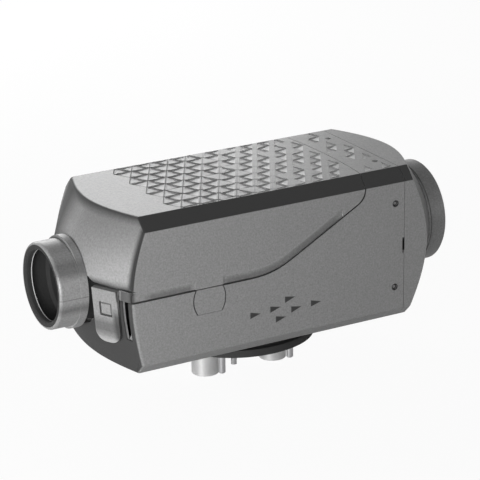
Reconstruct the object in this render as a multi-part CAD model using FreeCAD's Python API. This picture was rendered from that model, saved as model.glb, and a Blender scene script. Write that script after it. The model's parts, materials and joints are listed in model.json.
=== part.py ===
import FreeCAD, Part
import math
import os

os.makedirs("parts", exist_ok=True)

# Petrol parking heater, millimetres, +Z up, warm air blown along +X.
# The origin is the centre of the four mounting studs on the underside of the base gasket.

V = FreeCAD.Vector
X_DIR = V(1, 0, 0)
Y_DIR = V(0, 1, 0)
Z_DIR = V(0, 0, 1)

# Clearances
GAP = 0.3            # between housing pieces that only rest near each other
FIT = 0.05           # radial play of pins, pipes and screws in their holes
SEAM = 0.5           # open line between the cover and the lower shell

# Housing
AXIS_Z = 83.0        # air axis above the mounting face
INLET_REACH = 186.0  # mounting centre to the inlet rim
OUTLET_REACH = 186.0
BODY_WIDTH = 142.0
TOP_RISE = 67.2      # air axis up to the top face
BOTTOM_DROP = 68.0   # air axis down to the bottom face
TOP_CHAMFER = 10.5
BOTTOM_CHAMFER = 9.5
WALL = 2.5
END_ROUND = 4.5      # rounded edges of the inlet end
INLET_SETBACK = 47.0     # inlet rim back to the side walls' front edge
CHEEK_SLOPE = 0.62       # cone of the cover's inlet end, x per radius
CHIN_SLOPE = 0.37        # flatter cone of the lower shell's inlet end
CHEEK_RISE = 7.5         # underside of the overhanging cheek above the axis
CHEEK_ROLL = 9.0         # rolled lower edge of the cheek beside the collar
CHEEK_ROLL_END = 1.0     # the same roll where it runs out at the side
OUTLET_SETBACK = 38.4    # outlet rim back to the hood's side edge
HOOD_SLOPE = 0.765
HOOD_SEAM_X = 124.0      # joint between the lower shell and the outlet hood

# Seam between the cover and the lower shell, seen from the side
SEAM_DROP = 2.0          # level stretch below the axis
SEAM_BEND_X = -6.3       # where the level stretch turns up
SEAM_BEND_ROUND = 78.0
SEAM_END_X = 84.5        # where the seam turns straight up
SEAM_END_RISE = 47.7     # height of that turn above the axis
SEAM_END_ROUND = 14.0
SEAM_BULGE = 4.9         # bow of the seam across the top face
LAP = 4.0                # height of the lip that backs the seam
LAP_WALL = 1.5
BORDER = 7.0             # stepped-in border of the cover along the seam
BORDER_DEPTH = 1.2
BORDER_END_X = 62.0

# Latch tongues on the inlet end
TONGUE_SIDE_GAP = 10.3   # outer edge in from the side wall
TONGUE_COLLAR_GAP = 4.2  # inner edge clear of the inlet collar's neck
TONGUE_TIP_DROP = 41.0   # tip below the air axis
TONGUE_WALL = 2.5
TONGUE_SLOPE = 0.5       # slant of the tongue's face, x per y
TONGUE_TILT = 0.12       # lean of the tongue's face, x per z
TONGUE_LEDGE = 0.8       # top of the tongue below the cheek
TONGUE_ROOT = 4.0        # height of the block that ties the tongue to the end
TIP_ROUND = 0.8          # corner radius of the tip, per half width
WINDOW = 12.5            # square window in the tongue
WINDOW_DROP = 11.0       # its centre below the axis

# Sunk triangles on the top: columns across the air flow, with flat bands between them that get wider
RELIEF_START = 46.0      # first corners behind the front edge of the side walls
RELIEF_SIDE = 17.3       # side of the triangles in their lattice
RELIEF_ROW_Y = 2.9       # a row of corners beside the middle plane
RELIEF_MARGIN = 1.0      # kept clear along the top's edges and the seams
RELIEF_DEPTH = 1.1       # at the tip of a triangle
RELIEF_BASE_DEPTH = 0.5
RELIEF_FILL = 0.95       # share of its lattice place that a triangle fills
RELIEF_BAND = 0.06       # share of a column left flat near the inlet
RELIEF_WIDEN = 0.0021    # more of it for every millimetre towards the outlet
RELIEF_FULL_LEN = 30.0   # no triangle is left out this far behind the first corners

# Duct collars
INLET_R = 37.0
INLET_LEN = 18.5         # straight outside length for the duct
INLET_EYE_R = 30.4       # opening inside the rolled rim
RIM_DEPTH = 6.0
NECK_R = 34.3            # narrower neck of the inlet collar inside the housing
OUTLET_R = 45.0
COLLAR_WALL = 2.6
COLLAR_RING = 2.5        # how far the collars' rings stand out
RING_WIDTH = 2.5
GROOVE_WIDTH = 1.2       # double groove at the foot of the outlet collar
GROOVE_DEPTH = 0.9
CRESCENT_DEPTH = 1.0     # groove over the top of a collar, into its tube
CRESCENT_DROP = 6.0      # the round that shapes its floor is this much larger and lower

# Snap pegs of the outlet hood
SLEEVE = 16.0            # hood sleeve inside the lower shell
SLEEVE_WALL = 2.0
PEG_R = 2.2
PEG_SPREAD = 38.0        # pegs either side of the axis on every flat
PEG_BACK = 9.0           # pegs from the hood joint
PEG_SUNK = 1.4           # peg end below the outer face

# Cable ports in the side walls
PORT_X = -67.0
PORT_TOP_WIDTH = 26.0
PORT_WIDTH = 31.0
PORT_FOOT_WIDTH = 23.5
PORT_HEIGHT = 22.4
PORT_FLANGE = 2.0

# Base: gasket, foot, studs and pipes
GASKET_LENGTH = 126.0
GASKET_WIDTH = 103.4
GASKET_X = 6.0
GASKET_T = 6.5
GASKET_RING = 3.0
FOOT_INSET = 9.0         # foot of the heat exchanger inside the gasket outline
SHOULDER_T = 4.0
STUD_R = 3.0
STUD_SPREAD_X = 67.5
STUD_SPREAD_Y = 60.0
STUD_LEN = 17.0          # below the gasket
SEAT_STEP = 0.4          # studs and pipes are turned down by this where they enter the foot
STUD_BOSS_R = 5.0
PIPE_R = 12.0
PIPE_WALL = 1.5
PIPE_LEN = 27.0          # below the gasket
PIPE_SEAT = 18.0         # held in the foot
FUEL_R = 2.5
FUEL_WALL = 0.8
FUEL_X = -15.3
FUEL_Y = -18.0
FUEL_LEN = 17.0

# Heat exchanger
CORE_R = 43.0
CORE_WALL = 3.5
EXCHANGER_FRONT_X = -52.0
FIN_SETBACK = 18.0       # fins behind the exchanger's front
FIN_REAR_X = 104.0
DOME = 6.0               # closed end behind the fins
FIN_COUNT = 30
FIN_T = 2.0
FIN_MARGIN = 6.0         # fin tips inside the housing's outer faces
CHANNEL = 26.0           # clear channel in the fins along the top
PEDESTAL_WIDTH = 44.0
AIR_DUCT_R = 7.0

# Burner
FLANGE_T = 4.0
CHAMBER_R = 31.0
CHAMBER_LEN = 58.0
FLAME_TUBE_LEN = 62.0
SHEET = 1.5
TELESCOPE = 8.0
GLOW_X = -24.0
GLOW_R = 5.0
GLOW_HEX = 8.0
GLOW_RISE = 57.0         # top of the plug above the axis
GLOW_TIP = 20.0          # tip above the axis
SENSOR_X = 50.0
SENSOR_LEN = 18.0
SENSOR_WIDTH = 11.0
SENSOR_HEIGHT = 6.0
CLIP_T = 0.8

# Blower
BURNER_FAN_DEPTH = 18.0  # housing of the combustion-air fan
BURNER_FAN_WALL = 2.5
BURNER_FAN_R = 36.0
BURNER_FAN_LEN = 10.0
BURNER_FAN_BLADES = 14
BURNER_FAN_LEAN = 38.0   # how far its blades lean from root to tip, degrees
CASE_R = 46.0
EAR_R = 6.0
EAR_OUT = 4.0            # middle of the lugs outside the case
SCREW_R = 2.5
SCREW_HEAD_R = 4.5
SCREW_HEAD = 4.0
SCREW_BITE = 12.0
MOTOR_R = 27.0
MOTOR_WALL = 1.5
SHAFT_R = 3.0
BEARING_R = 8.0
BEARING_T = 6.0
STATOR_R = 15.0
MAGNET_R = 14.0
HOLDER_T = 3.0           # moulded blower holder
FAN_R = 50.0
FAN_SETBACK = 43.5       # inlet rim back to the fan
FAN_LEAN = 48.0
FAN_LEN = 22.0
FAN_GAP = 2.5
FAN_HUB_R = 20.0
FAN_BLADES = 11
BLADE_T = 1.8
SHROUD_GAP = 1.5

# Control unit
UNIT_SHORTER = 8.0       # the unit is shorter than the motor by this
UNIT_WIDTH = 58.0
UNIT_HEIGHT = 29.0
UNIT_EAR = 8.0
CRADLE_T = 2.0
PLUG_DEPTH = 8.0
PLUG_HEIGHT = 9.0
LEAD_R = 1.2

# Worked-out places
HALF_WIDTH = BODY_WIDTH / 2
TOP_Z = AXIS_Z + TOP_RISE
BOTTOM_Z = AXIS_Z - BOTTOM_DROP
SEAM_Z = AXIS_Z - SEAM_DROP
RIM_X = -INLET_REACH
END_EDGE_X = RIM_X + INLET_SETBACK
END_EDGE_R = math.hypot(HALF_WIDTH, CHEEK_RISE)
HOOD_EDGE_X = OUTLET_REACH - OUTLET_SETBACK
FAR = 3 * (INLET_REACH + OUTLET_REACH)
FIN_FRONT_X = EXCHANGER_FRONT_X + FIN_SETBACK
FLANGE_X = EXCHANGER_FRONT_X - FLANGE_T
BURNER_FAN_X = FLANGE_X - BURNER_FAN_DEPTH
FAN_X = RIM_X + FAN_SETBACK
FAN_BACK_X = FAN_X + FAN_LEN
MOTOR_X = FAN_BACK_X + FAN_GAP
MOTOR_LEN = BURNER_FAN_X - MOTOR_X
UNIT_LEN = MOTOR_LEN - UNIT_SHORTER
EAR_PITCH_R = CASE_R + EAR_OUT
RELIEF_X = END_EDGE_X + RELIEF_START
RELIEF_ROW = RELIEF_SIDE * math.sqrt(3) / 2
RELIEF_EDGE_Y = HALF_WIDTH - TOP_CHAMFER - RELIEF_MARGIN
RELIEF_ACROSS = V(RELIEF_ROW, -RELIEF_SIDE / 2, 0) / RELIEF_SIDE   # square to the columns
TONGUE_INNER = NECK_R + TONGUE_COLLAR_GAP
TONGUE_OUTER = HALF_WIDTH - TONGUE_SIDE_GAP
TONGUE_Y = (TONGUE_INNER + TONGUE_OUTER) / 2
TONGUE_WIDTH = (TONGUE_OUTER - TONGUE_INNER) * math.hypot(1, TONGUE_SLOPE)
TONGUE_TOP = CHEEK_RISE - TONGUE_LEDGE
PIPE_SEAT_R = PIPE_R - SEAT_STEP
FUEL_SEAT_R = FUEL_R - SEAT_STEP
STUD_SEAT_R = STUD_R - SEAT_STEP
EAR_ANGLES = (45, 135, 225, 315)
STUDS = [(sx * STUD_SPREAD_X / 2, sy * STUD_SPREAD_Y / 2) for sx in (-1, 1) for sy in (-1, 1)]
AIR_PIPE_X = -STUD_SPREAD_X / 2
EXHAUST_X = STUD_SPREAD_X / 2


# Basic forms

def rod_x(radius, x0, x1, y=0.0, rise=0.0):
    """Round bar along X, placed from the air axis."""
    return Part.makeCylinder(radius, x1 - x0, V(x0, y, AXIS_Z + rise), X_DIR)


def ring_x(outer, inner, x0, x1):
    return rod_x(outer, x0, x1).cut(rod_x(inner, x0 - 1, x1 + 1))


def rod_z(radius, x, y, z0, z1):
    return Part.makeCylinder(radius, z1 - z0, V(x, y, z0), Z_DIR)


def slab(x0, x1, y0, y1, z0, z1):
    return Part.makeBox(x1 - x0, y1 - y0, z1 - z0, V(x0, y0, z0))


def join(shapes):
    """One solid from touching shapes, with faces in one plane merged."""
    return shapes[0].multiFuse(shapes[1:]).removeSplitter()


def mirrored(shape):
    """The same shape on the other side of the lengthwise middle plane."""
    return shape.mirror(V(0, 0, 0), Y_DIR)


def turned(profile):
    """Solid of revolution about the air axis from (x, radius) points."""
    points = [V(x, 0, AXIS_Z + r) for x, r in profile]
    face = Part.Face(Part.makePolygon(points + points[:1]))
    return face.revolve(V(0, 0, AXIS_Z), X_DIR, 360)


def rounded_face(corners, place):
    """Face through (u, v, radius) corners, each rounded by an arc tangent to both sides."""
    arcs = []
    count = len(corners)
    for i, (u, v, r) in enumerate(corners):
        here = V(u, v, 0)
        back = (V(corners[i - 1][0], corners[i - 1][1], 0) - here).normalize()
        ahead = (V(corners[(i + 1) % count][0], corners[(i + 1) % count][1], 0) - here).normalize()
        half = back.getAngle(ahead) / 2
        reach = r / math.tan(half)
        middle = here + (back + ahead).normalize() * (r / math.sin(half) - r)
        arcs.append((here + back * reach, middle, here + ahead * reach))
    edges = []
    for i, (start, middle, end) in enumerate(arcs):
        if corners[i][2] > 0:
            edges.append(Part.Arc(place(start), place(middle), place(end)).toShape())
        following = arcs[(i + 1) % count][0]
        if end.distanceToPoint(following) > 1e-6:
            edges.append(Part.LineSegment(place(end), place(following)).toShape())
    return Part.Face(Part.Wire(edges))


def side_view(p):
    return V(p.x, 0, p.y)


def top_view(p):
    return V(p.x, p.y, 0)


def round_array(shape, count, start=0.0):
    """Copies of a shape turned evenly about the air axis."""
    copies = []
    for i in range(count):
        copy = shape.copy()
        copy.rotate(V(0, 0, AXIS_Z), X_DIR, start + 360.0 * i / count)
        copies.append(copy)
    return copies


# Housing envelope

def body_prism(inset, x0, x1):
    """Chamfered box of the housing, all its flats moved in by the inset."""
    w = HALF_WIDTH - inset
    top = TOP_Z - inset
    bottom = BOTTOM_Z + inset
    shrink = inset * (2 - math.sqrt(2))
    ct = TOP_CHAMFER - shrink
    cb = BOTTOM_CHAMFER - shrink
    outline = [(w, bottom + cb), (w, top - ct), (w - ct, top), (ct - w, top),
               (-w, top - ct), (-w, bottom + cb), (cb - w, bottom), (w - cb, bottom)]
    points = [V(x0, y, z) for y, z in outline]
    return Part.Face(Part.makePolygon(points + points[:1])).extrude(X_DIR * (x1 - x0))


def inlet_cone_x(slope, radius, inset=0.0):
    """Where the cone of the inlet end stands at a radius from the axis."""
    return END_EDGE_X + slope * (radius - END_EDGE_R) + inset * math.hypot(1, slope)


def inlet_cone(slope, inset):
    """Everything behind the cone of the inlet end."""
    tip = inlet_cone_x(slope, 0, inset)
    cone = Part.makeCone(0, (FAR - tip) / slope, FAR - tip, V(tip, 0, AXIS_Z), X_DIR)
    cone.rotate(V(0, 0, AXIS_Z), X_DIR, 90)
    return cone


def outlet_cone_x(radius, inset=0.0):
    return HOOD_EDGE_X + HOOD_SLOPE * (HALF_WIDTH - radius) - inset * math.hypot(1, HOOD_SLOPE)


def outlet_cone(inset):
    tip = outlet_cone_x(0, inset)
    return Part.makeCone(0, (FAR + tip) / HOOD_SLOPE, FAR + tip, V(tip, 0, AXIS_Z), -X_DIR)


def side_seam_face(dx, dz, x0=-FAR):
    """Side view of the space above the seam, moved by dx and dz."""
    level = SEAM_Z + dz
    chamfer_z = TOP_Z - TOP_CHAMFER
    end_x = SEAM_END_X + dx
    corners = [(x0, level, 0), (SEAM_BEND_X + dx, level, SEAM_BEND_ROUND),
               (end_x, AXIS_Z + SEAM_END_RISE + dz, SEAM_END_ROUND), (end_x, chamfer_z, 0),
               (end_x + 2 * SEAM_BULGE, chamfer_z, 0), (end_x + 2 * SEAM_BULGE, TOP_Z + LAP + BORDER, 0),
               (x0, TOP_Z + LAP + BORDER, 0)]
    return rounded_face(corners, side_view)


def cover_space(dx=0.0, dz=0.0):
    """Space that the cover takes: above the side seam and behind the bowed seam on the top."""
    depth = BODY_WIDTH
    space = side_seam_face(dx, dz).extrude(Y_DIR * 2 * depth)
    space.translate(V(0, -depth, 0))
    bow = (HALF_WIDTH ** 2 + SEAM_BULGE ** 2) / (2 * SEAM_BULGE)
    centre = SEAM_END_X + SEAM_BULGE - bow + dx
    return space.common(rod_z(bow, centre, 0, 0, TOP_Z + FAR))


def end_edges(shape, slope, low, high):
    """Edges where the cone of the inlet end meets the flats between two heights."""
    chosen = []
    for edge in shape.Edges:
        if edge.Degenerated:
            continue
        points = edge.discretize(5)
        radii = [math.hypot(p.y, p.z - AXIS_Z) for p in points]
        on_cone = all(abs(p.x - inlet_cone_x(slope, r)) < 0.02 for p, r in zip(points, radii))
        inside = all(low - 0.01 <= p.z <= high + 0.01 for p in points)
        if on_cone and inside:
            chosen.append(edge)
    return chosen


def port_face(grow):
    """Barrel-shaped outline of a cable port, open to the seam above."""
    top = SEAM_Z
    foot = SEAM_Z - PORT_HEIGHT - grow
    middle = (top + foot) / 2
    edges = []
    corners = [(PORT_TOP_WIDTH / 2 + grow, top), (PORT_WIDTH / 2 + grow, middle),
               (PORT_FOOT_WIDTH / 2 + grow, foot)]
    right = [V(PORT_X + u, 0, z) for u, z in corners]
    left = [V(PORT_X - u, 0, z) for u, z in corners]
    edges.append(Part.Arc(right[0], right[1], right[2]).toShape())
    edges.append(Part.LineSegment(right[2], left[2]).toShape())
    edges.append(Part.Arc(left[2], left[1], left[0]).toShape())
    edges.append(Part.LineSegment(left[0], right[0]).toShape())
    return Part.Face(Part.Wire(edges))


def port_block(grow, y0, y1):
    block = port_face(grow).extrude(Y_DIR * (y1 - y0))
    block.translate(V(0, y0, 0))
    return block


# Latch tongues

def tongue_frame():
    """Placement with u outwards along the end, v up and w out of the face of the leaning tongue."""
    width = math.hypot(1, TONGUE_SLOPE)
    normal = math.hypot(width, TONGUE_TILT)
    along = V(TONGUE_SLOPE, -1, 0) / width
    out = V(-1, -TONGUE_SLOPE, -TONGUE_TILT) / normal
    up = out.cross(along)
    belly = TONGUE_TIP_DROP * 0.45
    edge_x = inlet_cone_x(CHIN_SLOPE, math.hypot(TONGUE_OUTER, belly)) - GAP - TONGUE_WALL * normal
    x = edge_x - TONGUE_SLOPE * (TONGUE_OUTER - TONGUE_Y) - TONGUE_TILT * belly
    matrix = FreeCAD.Matrix(along.x, up.x, out.x, x,
                            along.y, up.y, out.y, -TONGUE_Y,
                            along.z, up.z, out.z, AXIS_Z)
    return FreeCAD.Placement(matrix)


def tongue_slab(corners, depth0, depth1):
    """Plate on the tongue's plane between two depths behind its face."""
    plate = rounded_face(corners, top_view).extrude(Z_DIR * (depth1 - depth0))
    plate.translate(Z_DIR * -depth1)
    plate.Placement = tongue_frame().multiply(plate.Placement)
    return plate


def tongue():
    half = TONGUE_WIDTH / 2
    tip = -TONGUE_TIP_DROP
    outline = [(-half, tip, half * TIP_ROUND), (half, tip, half * TIP_ROUND), (half, TONGUE_TOP, 0),
               (-half, TONGUE_TOP, 0)]
    plate = tongue_slab(outline, 0, TONGUE_WALL)
    w = WINDOW / 2
    hole = [(-w, -WINDOW_DROP - w, 1), (w, -WINDOW_DROP - w, 1),
            (w, -WINDOW_DROP + w, 1), (-w, -WINDOW_DROP + w, 1)]
    return plate.cut(tongue_slab(hole, -1, TONGUE_WALL + 1))


def tongue_root():
    """Block behind the top of a tongue that ties it to the end wall of the cover."""
    half = TONGUE_WIDTH / 2
    low = TONGUE_TOP - TONGUE_ROOT
    block = tongue_slab([(-half, low, 0), (half, low, 0), (half, TONGUE_TOP, 0), (-half, TONGUE_TOP, 0)],
                        TONGUE_WALL / 2, TONGUE_WALL + TONGUE_WIDTH)
    return block.cut(cover_hollow()).cut(rod_x(INLET_R + GAP, RIM_X, FAN_X))


def latch_pad():
    """Raised pad of the lower shell behind a tongue, out of the cone of the end."""
    half = TONGUE_WIDTH / 2 - 1
    tip = 2 - TONGUE_TIP_DROP
    top = -SEAM_DROP - SEAM
    rounding = half * TIP_ROUND
    outline = [(-half, tip, rounding), (half, tip, rounding), (half, top, 0), (-half, top, 0)]
    start = TONGUE_WALL + GAP
    depth = start + TONGUE_WIDTH
    return tongue_slab(outline, start, depth).cut(inlet_cone(CHIN_SLOPE, WALL))


# Triangle relief

def relief_triangles():
    """Lattice triangles: two base corners along the rising slant, the tip, and a count for thinning."""
    rows = math.ceil(HALF_WIDTH / RELIEF_ROW)
    columns = math.ceil((HOOD_SEAM_X - RELIEF_X) / RELIEF_SIDE)
    half = RELIEF_SIDE / 2
    found = []
    for j in range(-rows, rows + 1):
        y = RELIEF_ROW_Y + j * RELIEF_ROW
        for i in range(columns + 1):
            x = RELIEF_X + i * RELIEF_SIDE + (half if j % 2 == 0 else 0)
            here = V(x, y, TOP_Z)
            following = V(x + RELIEF_SIDE, y, TOP_Z)
            found.append((here, V(x + half, y + RELIEF_ROW, TOP_Z), following, 2 * i + 3 * j))
            found.append((following, V(x + half, y - RELIEF_ROW, TOP_Z), here, 2 * i + 3 * j + 1))
    return found


def within_top(points):
    """Points of a polygon cut off at both long edges of the top."""
    for side in (-1, 1):
        kept = []
        for p, q in zip(points, points[1:] + points[:1]):
            a = RELIEF_EDGE_Y - side * p.y
            b = RELIEF_EDGE_Y - side * q.y
            if a >= 0:
                kept.append(p)
            if a * b < 0:
                kept.append(p + (q - p) * (a / (a - b)))
        points = kept
    return points


def narrowed(corners, keep):
    """A triangle's corners drawn together across its column, so that flat bands stay on both sides."""
    spots = [p.dot(RELIEF_ACROSS) for p in corners]
    centre = (min(spots) + max(spots)) / 2
    drawn = [p + RELIEF_ACROSS * ((centre - spot) * (1 - keep)) for p, spot in zip(corners, spots)]
    middle = (drawn[0] + drawn[1] + drawn[2]) / 3
    return [middle + (p - middle) * RELIEF_FILL for p in drawn]


def sunk_triangle(corners):
    """Sunk triangle: shallow along its base, the first two corners, and deepest at its tip."""
    base_line = (corners[1] - corners[0]).normalize()
    reach = corners[2] - corners[0]
    reach = reach - base_line * reach.dot(base_line)
    outline = within_top(corners)
    floor = []
    for p in outline:
        share = (p - corners[0]).dot(reach) / reach.dot(reach)
        depth = RELIEF_BASE_DEPTH + (RELIEF_DEPTH - RELIEF_BASE_DEPTH) * share
        floor.append(p - Z_DIR * depth)
    lid = [p + Z_DIR for p in outline]
    rings = [lid, floor]
    rings += [[lid[k - 1], lid[k], floor[k], floor[k - 1]] for k in range(len(lid))]
    faces = [Part.Face(Part.makePolygon(ring + ring[:1])) for ring in rings]
    return Part.Solid(Part.Shell(faces))


def seam_x(y):
    """Where the bowed seam crosses the top at a distance y from the middle plane."""
    bow = (HALF_WIDTH ** 2 + SEAM_BULGE ** 2) / (2 * SEAM_BULGE)
    return SEAM_END_X + SEAM_BULGE - bow + math.sqrt(bow ** 2 - y ** 2)


def has_room(corners):
    """Whether a triangle keeps clear of the seam, the hood joint and the pegs, and lies on the top."""
    past = [p.x - seam_x(p.y) for p in corners]
    off_seam = min(past) > RELIEF_MARGIN or max(past) < -RELIEF_MARGIN
    off_joint = max(p.x for p in corners) < HOOD_SEAM_X - RELIEF_MARGIN
    middle = (corners[0] + corners[1] + corners[2]) / 3
    peg = V(HOOD_SEAM_X - PEG_BACK, math.copysign(PEG_SPREAD, middle.y), TOP_Z)
    off_peg = middle.distanceToPoint(peg) > RELIEF_SIDE / 2 + PEG_R
    spread = [p.y for p in within_top(corners)]
    on_top = len(spread) > 2 and max(spread) - min(spread) > RELIEF_MARGIN
    return off_seam and off_joint and off_peg and on_top


def sunk_triangles():
    """All sunk triangles, thinned out towards the outlet."""
    sunk = []
    for first, second, tip, turn in relief_triangles():
        middle = (first + second + tip) / 3
        behind = (middle - V(RELIEF_X, 0, TOP_Z)).dot(RELIEF_ACROSS)
        corners = narrowed([first, second, tip], 1 - RELIEF_BAND - RELIEF_WIDEN * behind)
        thinned = behind > RELIEF_FULL_LEN and turn % 7 == 0
        thinned = thinned or (middle.x > seam_x(0) and turn % 3 == 0)
        if has_room(corners) and not thinned:
            sunk.append(sunk_triangle(corners))
    return Part.makeCompound(sunk)


# Housing pieces

def lower_block():
    """Whole housing with the flatter inlet end and its rounded edges, up to the hood joint."""
    block = body_prism(0, RIM_X, HOOD_SEAM_X).common(inlet_cone(CHIN_SLOPE, 0))
    return block.makeFillet(END_ROUND, end_edges(block, CHIN_SLOPE, BOTTOM_Z, TOP_Z))


def above_cheek(inset):
    return slab(-FAR, FAR, -FAR, FAR, AXIS_Z + CHEEK_RISE + inset, FAR)


def roll_section(y, radius, inset):
    """Sharp corner outside the roll at a distance y from the middle, square to the cheek's lower edge."""
    rise = CHEEK_RISE + inset
    corner = V(inlet_cone_x(CHEEK_SLOPE, math.hypot(y, rise), inset), -y, AXIS_Z + rise)
    above = rise + radius
    ahead = V(inlet_cone_x(CHEEK_SLOPE, math.hypot(y, above), inset), -y, AXIS_Z + above) - corner
    back = X_DIR
    ahead.normalize()
    half = back.getAngle(ahead) / 2
    reach = radius / math.tan(half)
    middle = corner + (back + ahead).normalize() * (radius / math.sin(half) - radius)
    low = corner + back * reach
    high = corner + ahead * reach
    points = [low, low - Z_DIR, corner - Z_DIR - X_DIR * 2, high - X_DIR * 2, high]
    edges = [Part.LineSegment(p, q).toShape() for p, q in zip(points, points[1:])]
    edges.append(Part.Arc(high, middle, low).toShape())
    return Part.Wire(edges)


def cheek_roll(inset):
    """What the rolled lower edge of the cheek takes off, widest beside the collar, least at the side."""
    sections = [roll_section(NECK_R - inset, CHEEK_ROLL - inset, inset),
                roll_section(HALF_WIDTH + inset, max(CHEEK_ROLL_END - inset, SEAM), inset)]
    roll = Part.makeLoft(sections, True, True)
    return roll.fuse(mirrored(roll))


def cover_block():
    """Cover before hollowing: cheek block with rounded edges, overhanging the flatter end below it."""
    cheek = body_prism(0, RIM_X, HOOD_SEAM_X).common(inlet_cone(CHEEK_SLOPE, 0)).common(above_cheek(0))
    cheek = cheek.makeFillet(END_ROUND, end_edges(cheek, CHEEK_SLOPE, AXIS_Z, TOP_Z))
    cheek = cheek.cut(cheek_roll(0))
    return cheek.fuse(lower_block().cut(above_cheek(0)))


def cover_hollow():
    prism = body_prism(WALL, RIM_X, HOOD_SEAM_X)
    upper = prism.common(inlet_cone(CHEEK_SLOPE, WALL)).common(above_cheek(WALL)).cut(cheek_roll(WALL))
    lower = prism.common(inlet_cone(CHIN_SLOPE, WALL)).cut(above_cheek(WALL))
    return join([upper, lower])


def seam_border():
    """Shallow step along the cover's lower edge, left out above the cable port."""
    band = side_seam_face(0, 0).cut(side_seam_face(0, BORDER)).extrude(Y_DIR * BODY_WIDTH)
    band.translate(V(0, BORDER_DEPTH - HALF_WIDTH - BODY_WIDTH, 0))
    reach = slab(END_EDGE_X - WALL, BORDER_END_X, -FAR, FAR, 0, FAR)
    port = slab(PORT_X - PORT_TOP_WIDTH / 2, PORT_X + PORT_TOP_WIDTH / 2, -FAR, FAR, 0, FAR)
    band = band.common(reach).cut(port)
    return band.fuse(mirrored(band))


def upper_cover():
    shell = cover_block().cut(cover_hollow()).common(cover_space(-SEAM, SEAM))
    shell = shell.cut(rod_x(INLET_R + GAP, RIM_X, FAN_X))
    latch = tongue().fuse(tongue_root())
    return shell.multiFuse([latch, mirrored(latch)]).cut(seam_border()).cut(sunk_triangles())


def seam_lip():
    """Lip of the lower shell that stands inside the cover's edge all along the seam."""
    x0 = END_EDGE_X + 3 * WALL
    core = body_prism(WALL + GAP + LAP_WALL, x0 - 1, HOOD_SEAM_X)
    root = body_prism(WALL, x0, HOOD_SEAM_X - SLEEVE - GAP).cut(core)
    root = root.common(cover_space(LAP, -LAP)).cut(cover_space())
    lip = body_prism(WALL + GAP, x0, HOOD_SEAM_X - SLEEVE - GAP).cut(core)
    lip = lip.common(cover_space()).cut(cover_space(-LAP, LAP))
    return root.fuse(lip).cut(port_opening(PORT_FLANGE + GAP, LAP + SEAM))


def port_opening(grow, above):
    """Cable port cut through both side walls, carried up past the seam."""
    through = port_block(grow, -BODY_WIDTH, BODY_WIDTH)
    half = PORT_TOP_WIDTH / 2 + grow
    throat = slab(PORT_X - half, PORT_X + half, -BODY_WIDTH, BODY_WIDTH, SEAM_Z, SEAM_Z + above)
    return through.fuse(throat)


def peg_places():
    """Snap pegs as (flat's outward direction, y, z) on the eight half flats."""
    places = []
    for side in (-1, 1):
        places.append((V(0, 1, 0), HALF_WIDTH, AXIS_Z + side * PEG_SPREAD))
        places.append((V(0, -1, 0), -HALF_WIDTH, AXIS_Z + side * PEG_SPREAD))
        places.append((V(0, 0, 1), side * PEG_SPREAD, TOP_Z))
        places.append((V(0, 0, -1), side * PEG_SPREAD, BOTTOM_Z))
    return places


def pegs(radius, outer, inner):
    """Short bars square to the flats, from a depth outer to a depth inner below the face."""
    bars = []
    for out, y, z in peg_places():
        start = V(HOOD_SEAM_X - PEG_BACK, y, z) - out * inner
        bars.append(Part.makeCylinder(radius, inner - outer, start, out))
    return bars


def base_oval(inset, z0, z1):
    """Oval of the base, moved in by the inset."""
    oval = Part.Ellipse(V(GASKET_X, 0, z0), GASKET_LENGTH / 2 - inset, GASKET_WIDTH / 2 - inset)
    return Part.Face(Part.Wire(oval.toShape())).extrude(Z_DIR * (z1 - z0))


def foot_form(grow, z0, z1):
    """Foot of the heat exchanger with its four stud bosses."""
    bosses = [rod_z(STUD_BOSS_R + grow, x, y, z0, z1) for x, y in STUDS]
    return base_oval(FOOT_INSET - grow, z0, z1).multiFuse(bosses)


def finger_slots():
    """Narrow openings beside the tongues, where the latch is pulled free."""
    y1 = TONGUE_OUTER + GAP
    y2 = HALF_WIDTH - 1.4 * WALL
    z0 = AXIS_Z - TONGUE_TIP_DROP + 2 * WALL
    slot = slab(RIM_X, END_EDGE_X + WALL, -y2, -y1, z0, SEAM_Z + SEAM)
    return slot.fuse(mirrored(slot))


def lower_shell():
    shell = lower_block()
    shell = shell.cut(body_prism(WALL, RIM_X, FAR).common(inlet_cone(CHIN_SLOPE, WALL)))
    shell = shell.cut(cover_space())
    pad = latch_pad()
    shell = join([shell, seam_lip(), pad, mirrored(pad)])
    shell = shell.cut(rod_x(INLET_R + GAP, RIM_X, FAN_X)).cut(finger_slots())
    shell = shell.cut(port_opening(0, SEAM))
    shell = shell.cut(foot_form(GAP, 0, AXIS_Z / 2))
    pry = slab(HOOD_SEAM_X - SEAM * 3, HOOD_SEAM_X, -HALF_WIDTH, HALF_WIDTH, SEAM_Z - 6, SEAM_Z + 6)
    shell = shell.cut(pry.cut(body_prism(WALL * 0.6, RIM_X, FAR)))
    shell = shell.cut(sunk_triangles())
    return shell.cut(Part.makeCompound(pegs(PEG_R + GAP, -1, WALL + 1)))


def outlet_hood():
    x0 = HOOD_SEAM_X + SEAM
    ring = body_prism(0, x0, OUTLET_REACH).common(outlet_cone(0))
    sleeve = body_prism(WALL + GAP, HOOD_SEAM_X - SLEEVE, x0 + 2 * WALL)
    hollow = body_prism(WALL + GAP + SLEEVE_WALL, RIM_X, FAR).common(outlet_cone(WALL + GAP))
    hood = ring.fuse(sleeve).cut(hollow)
    hood = hood.multiFuse(pegs(PEG_R, PEG_SUNK, WALL + GAP + SLEEVE_WALL / 2)).removeSplitter()
    return hood.cut(rod_x(OUTLET_R + GAP, HOOD_SEAM_X, FAR))


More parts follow.
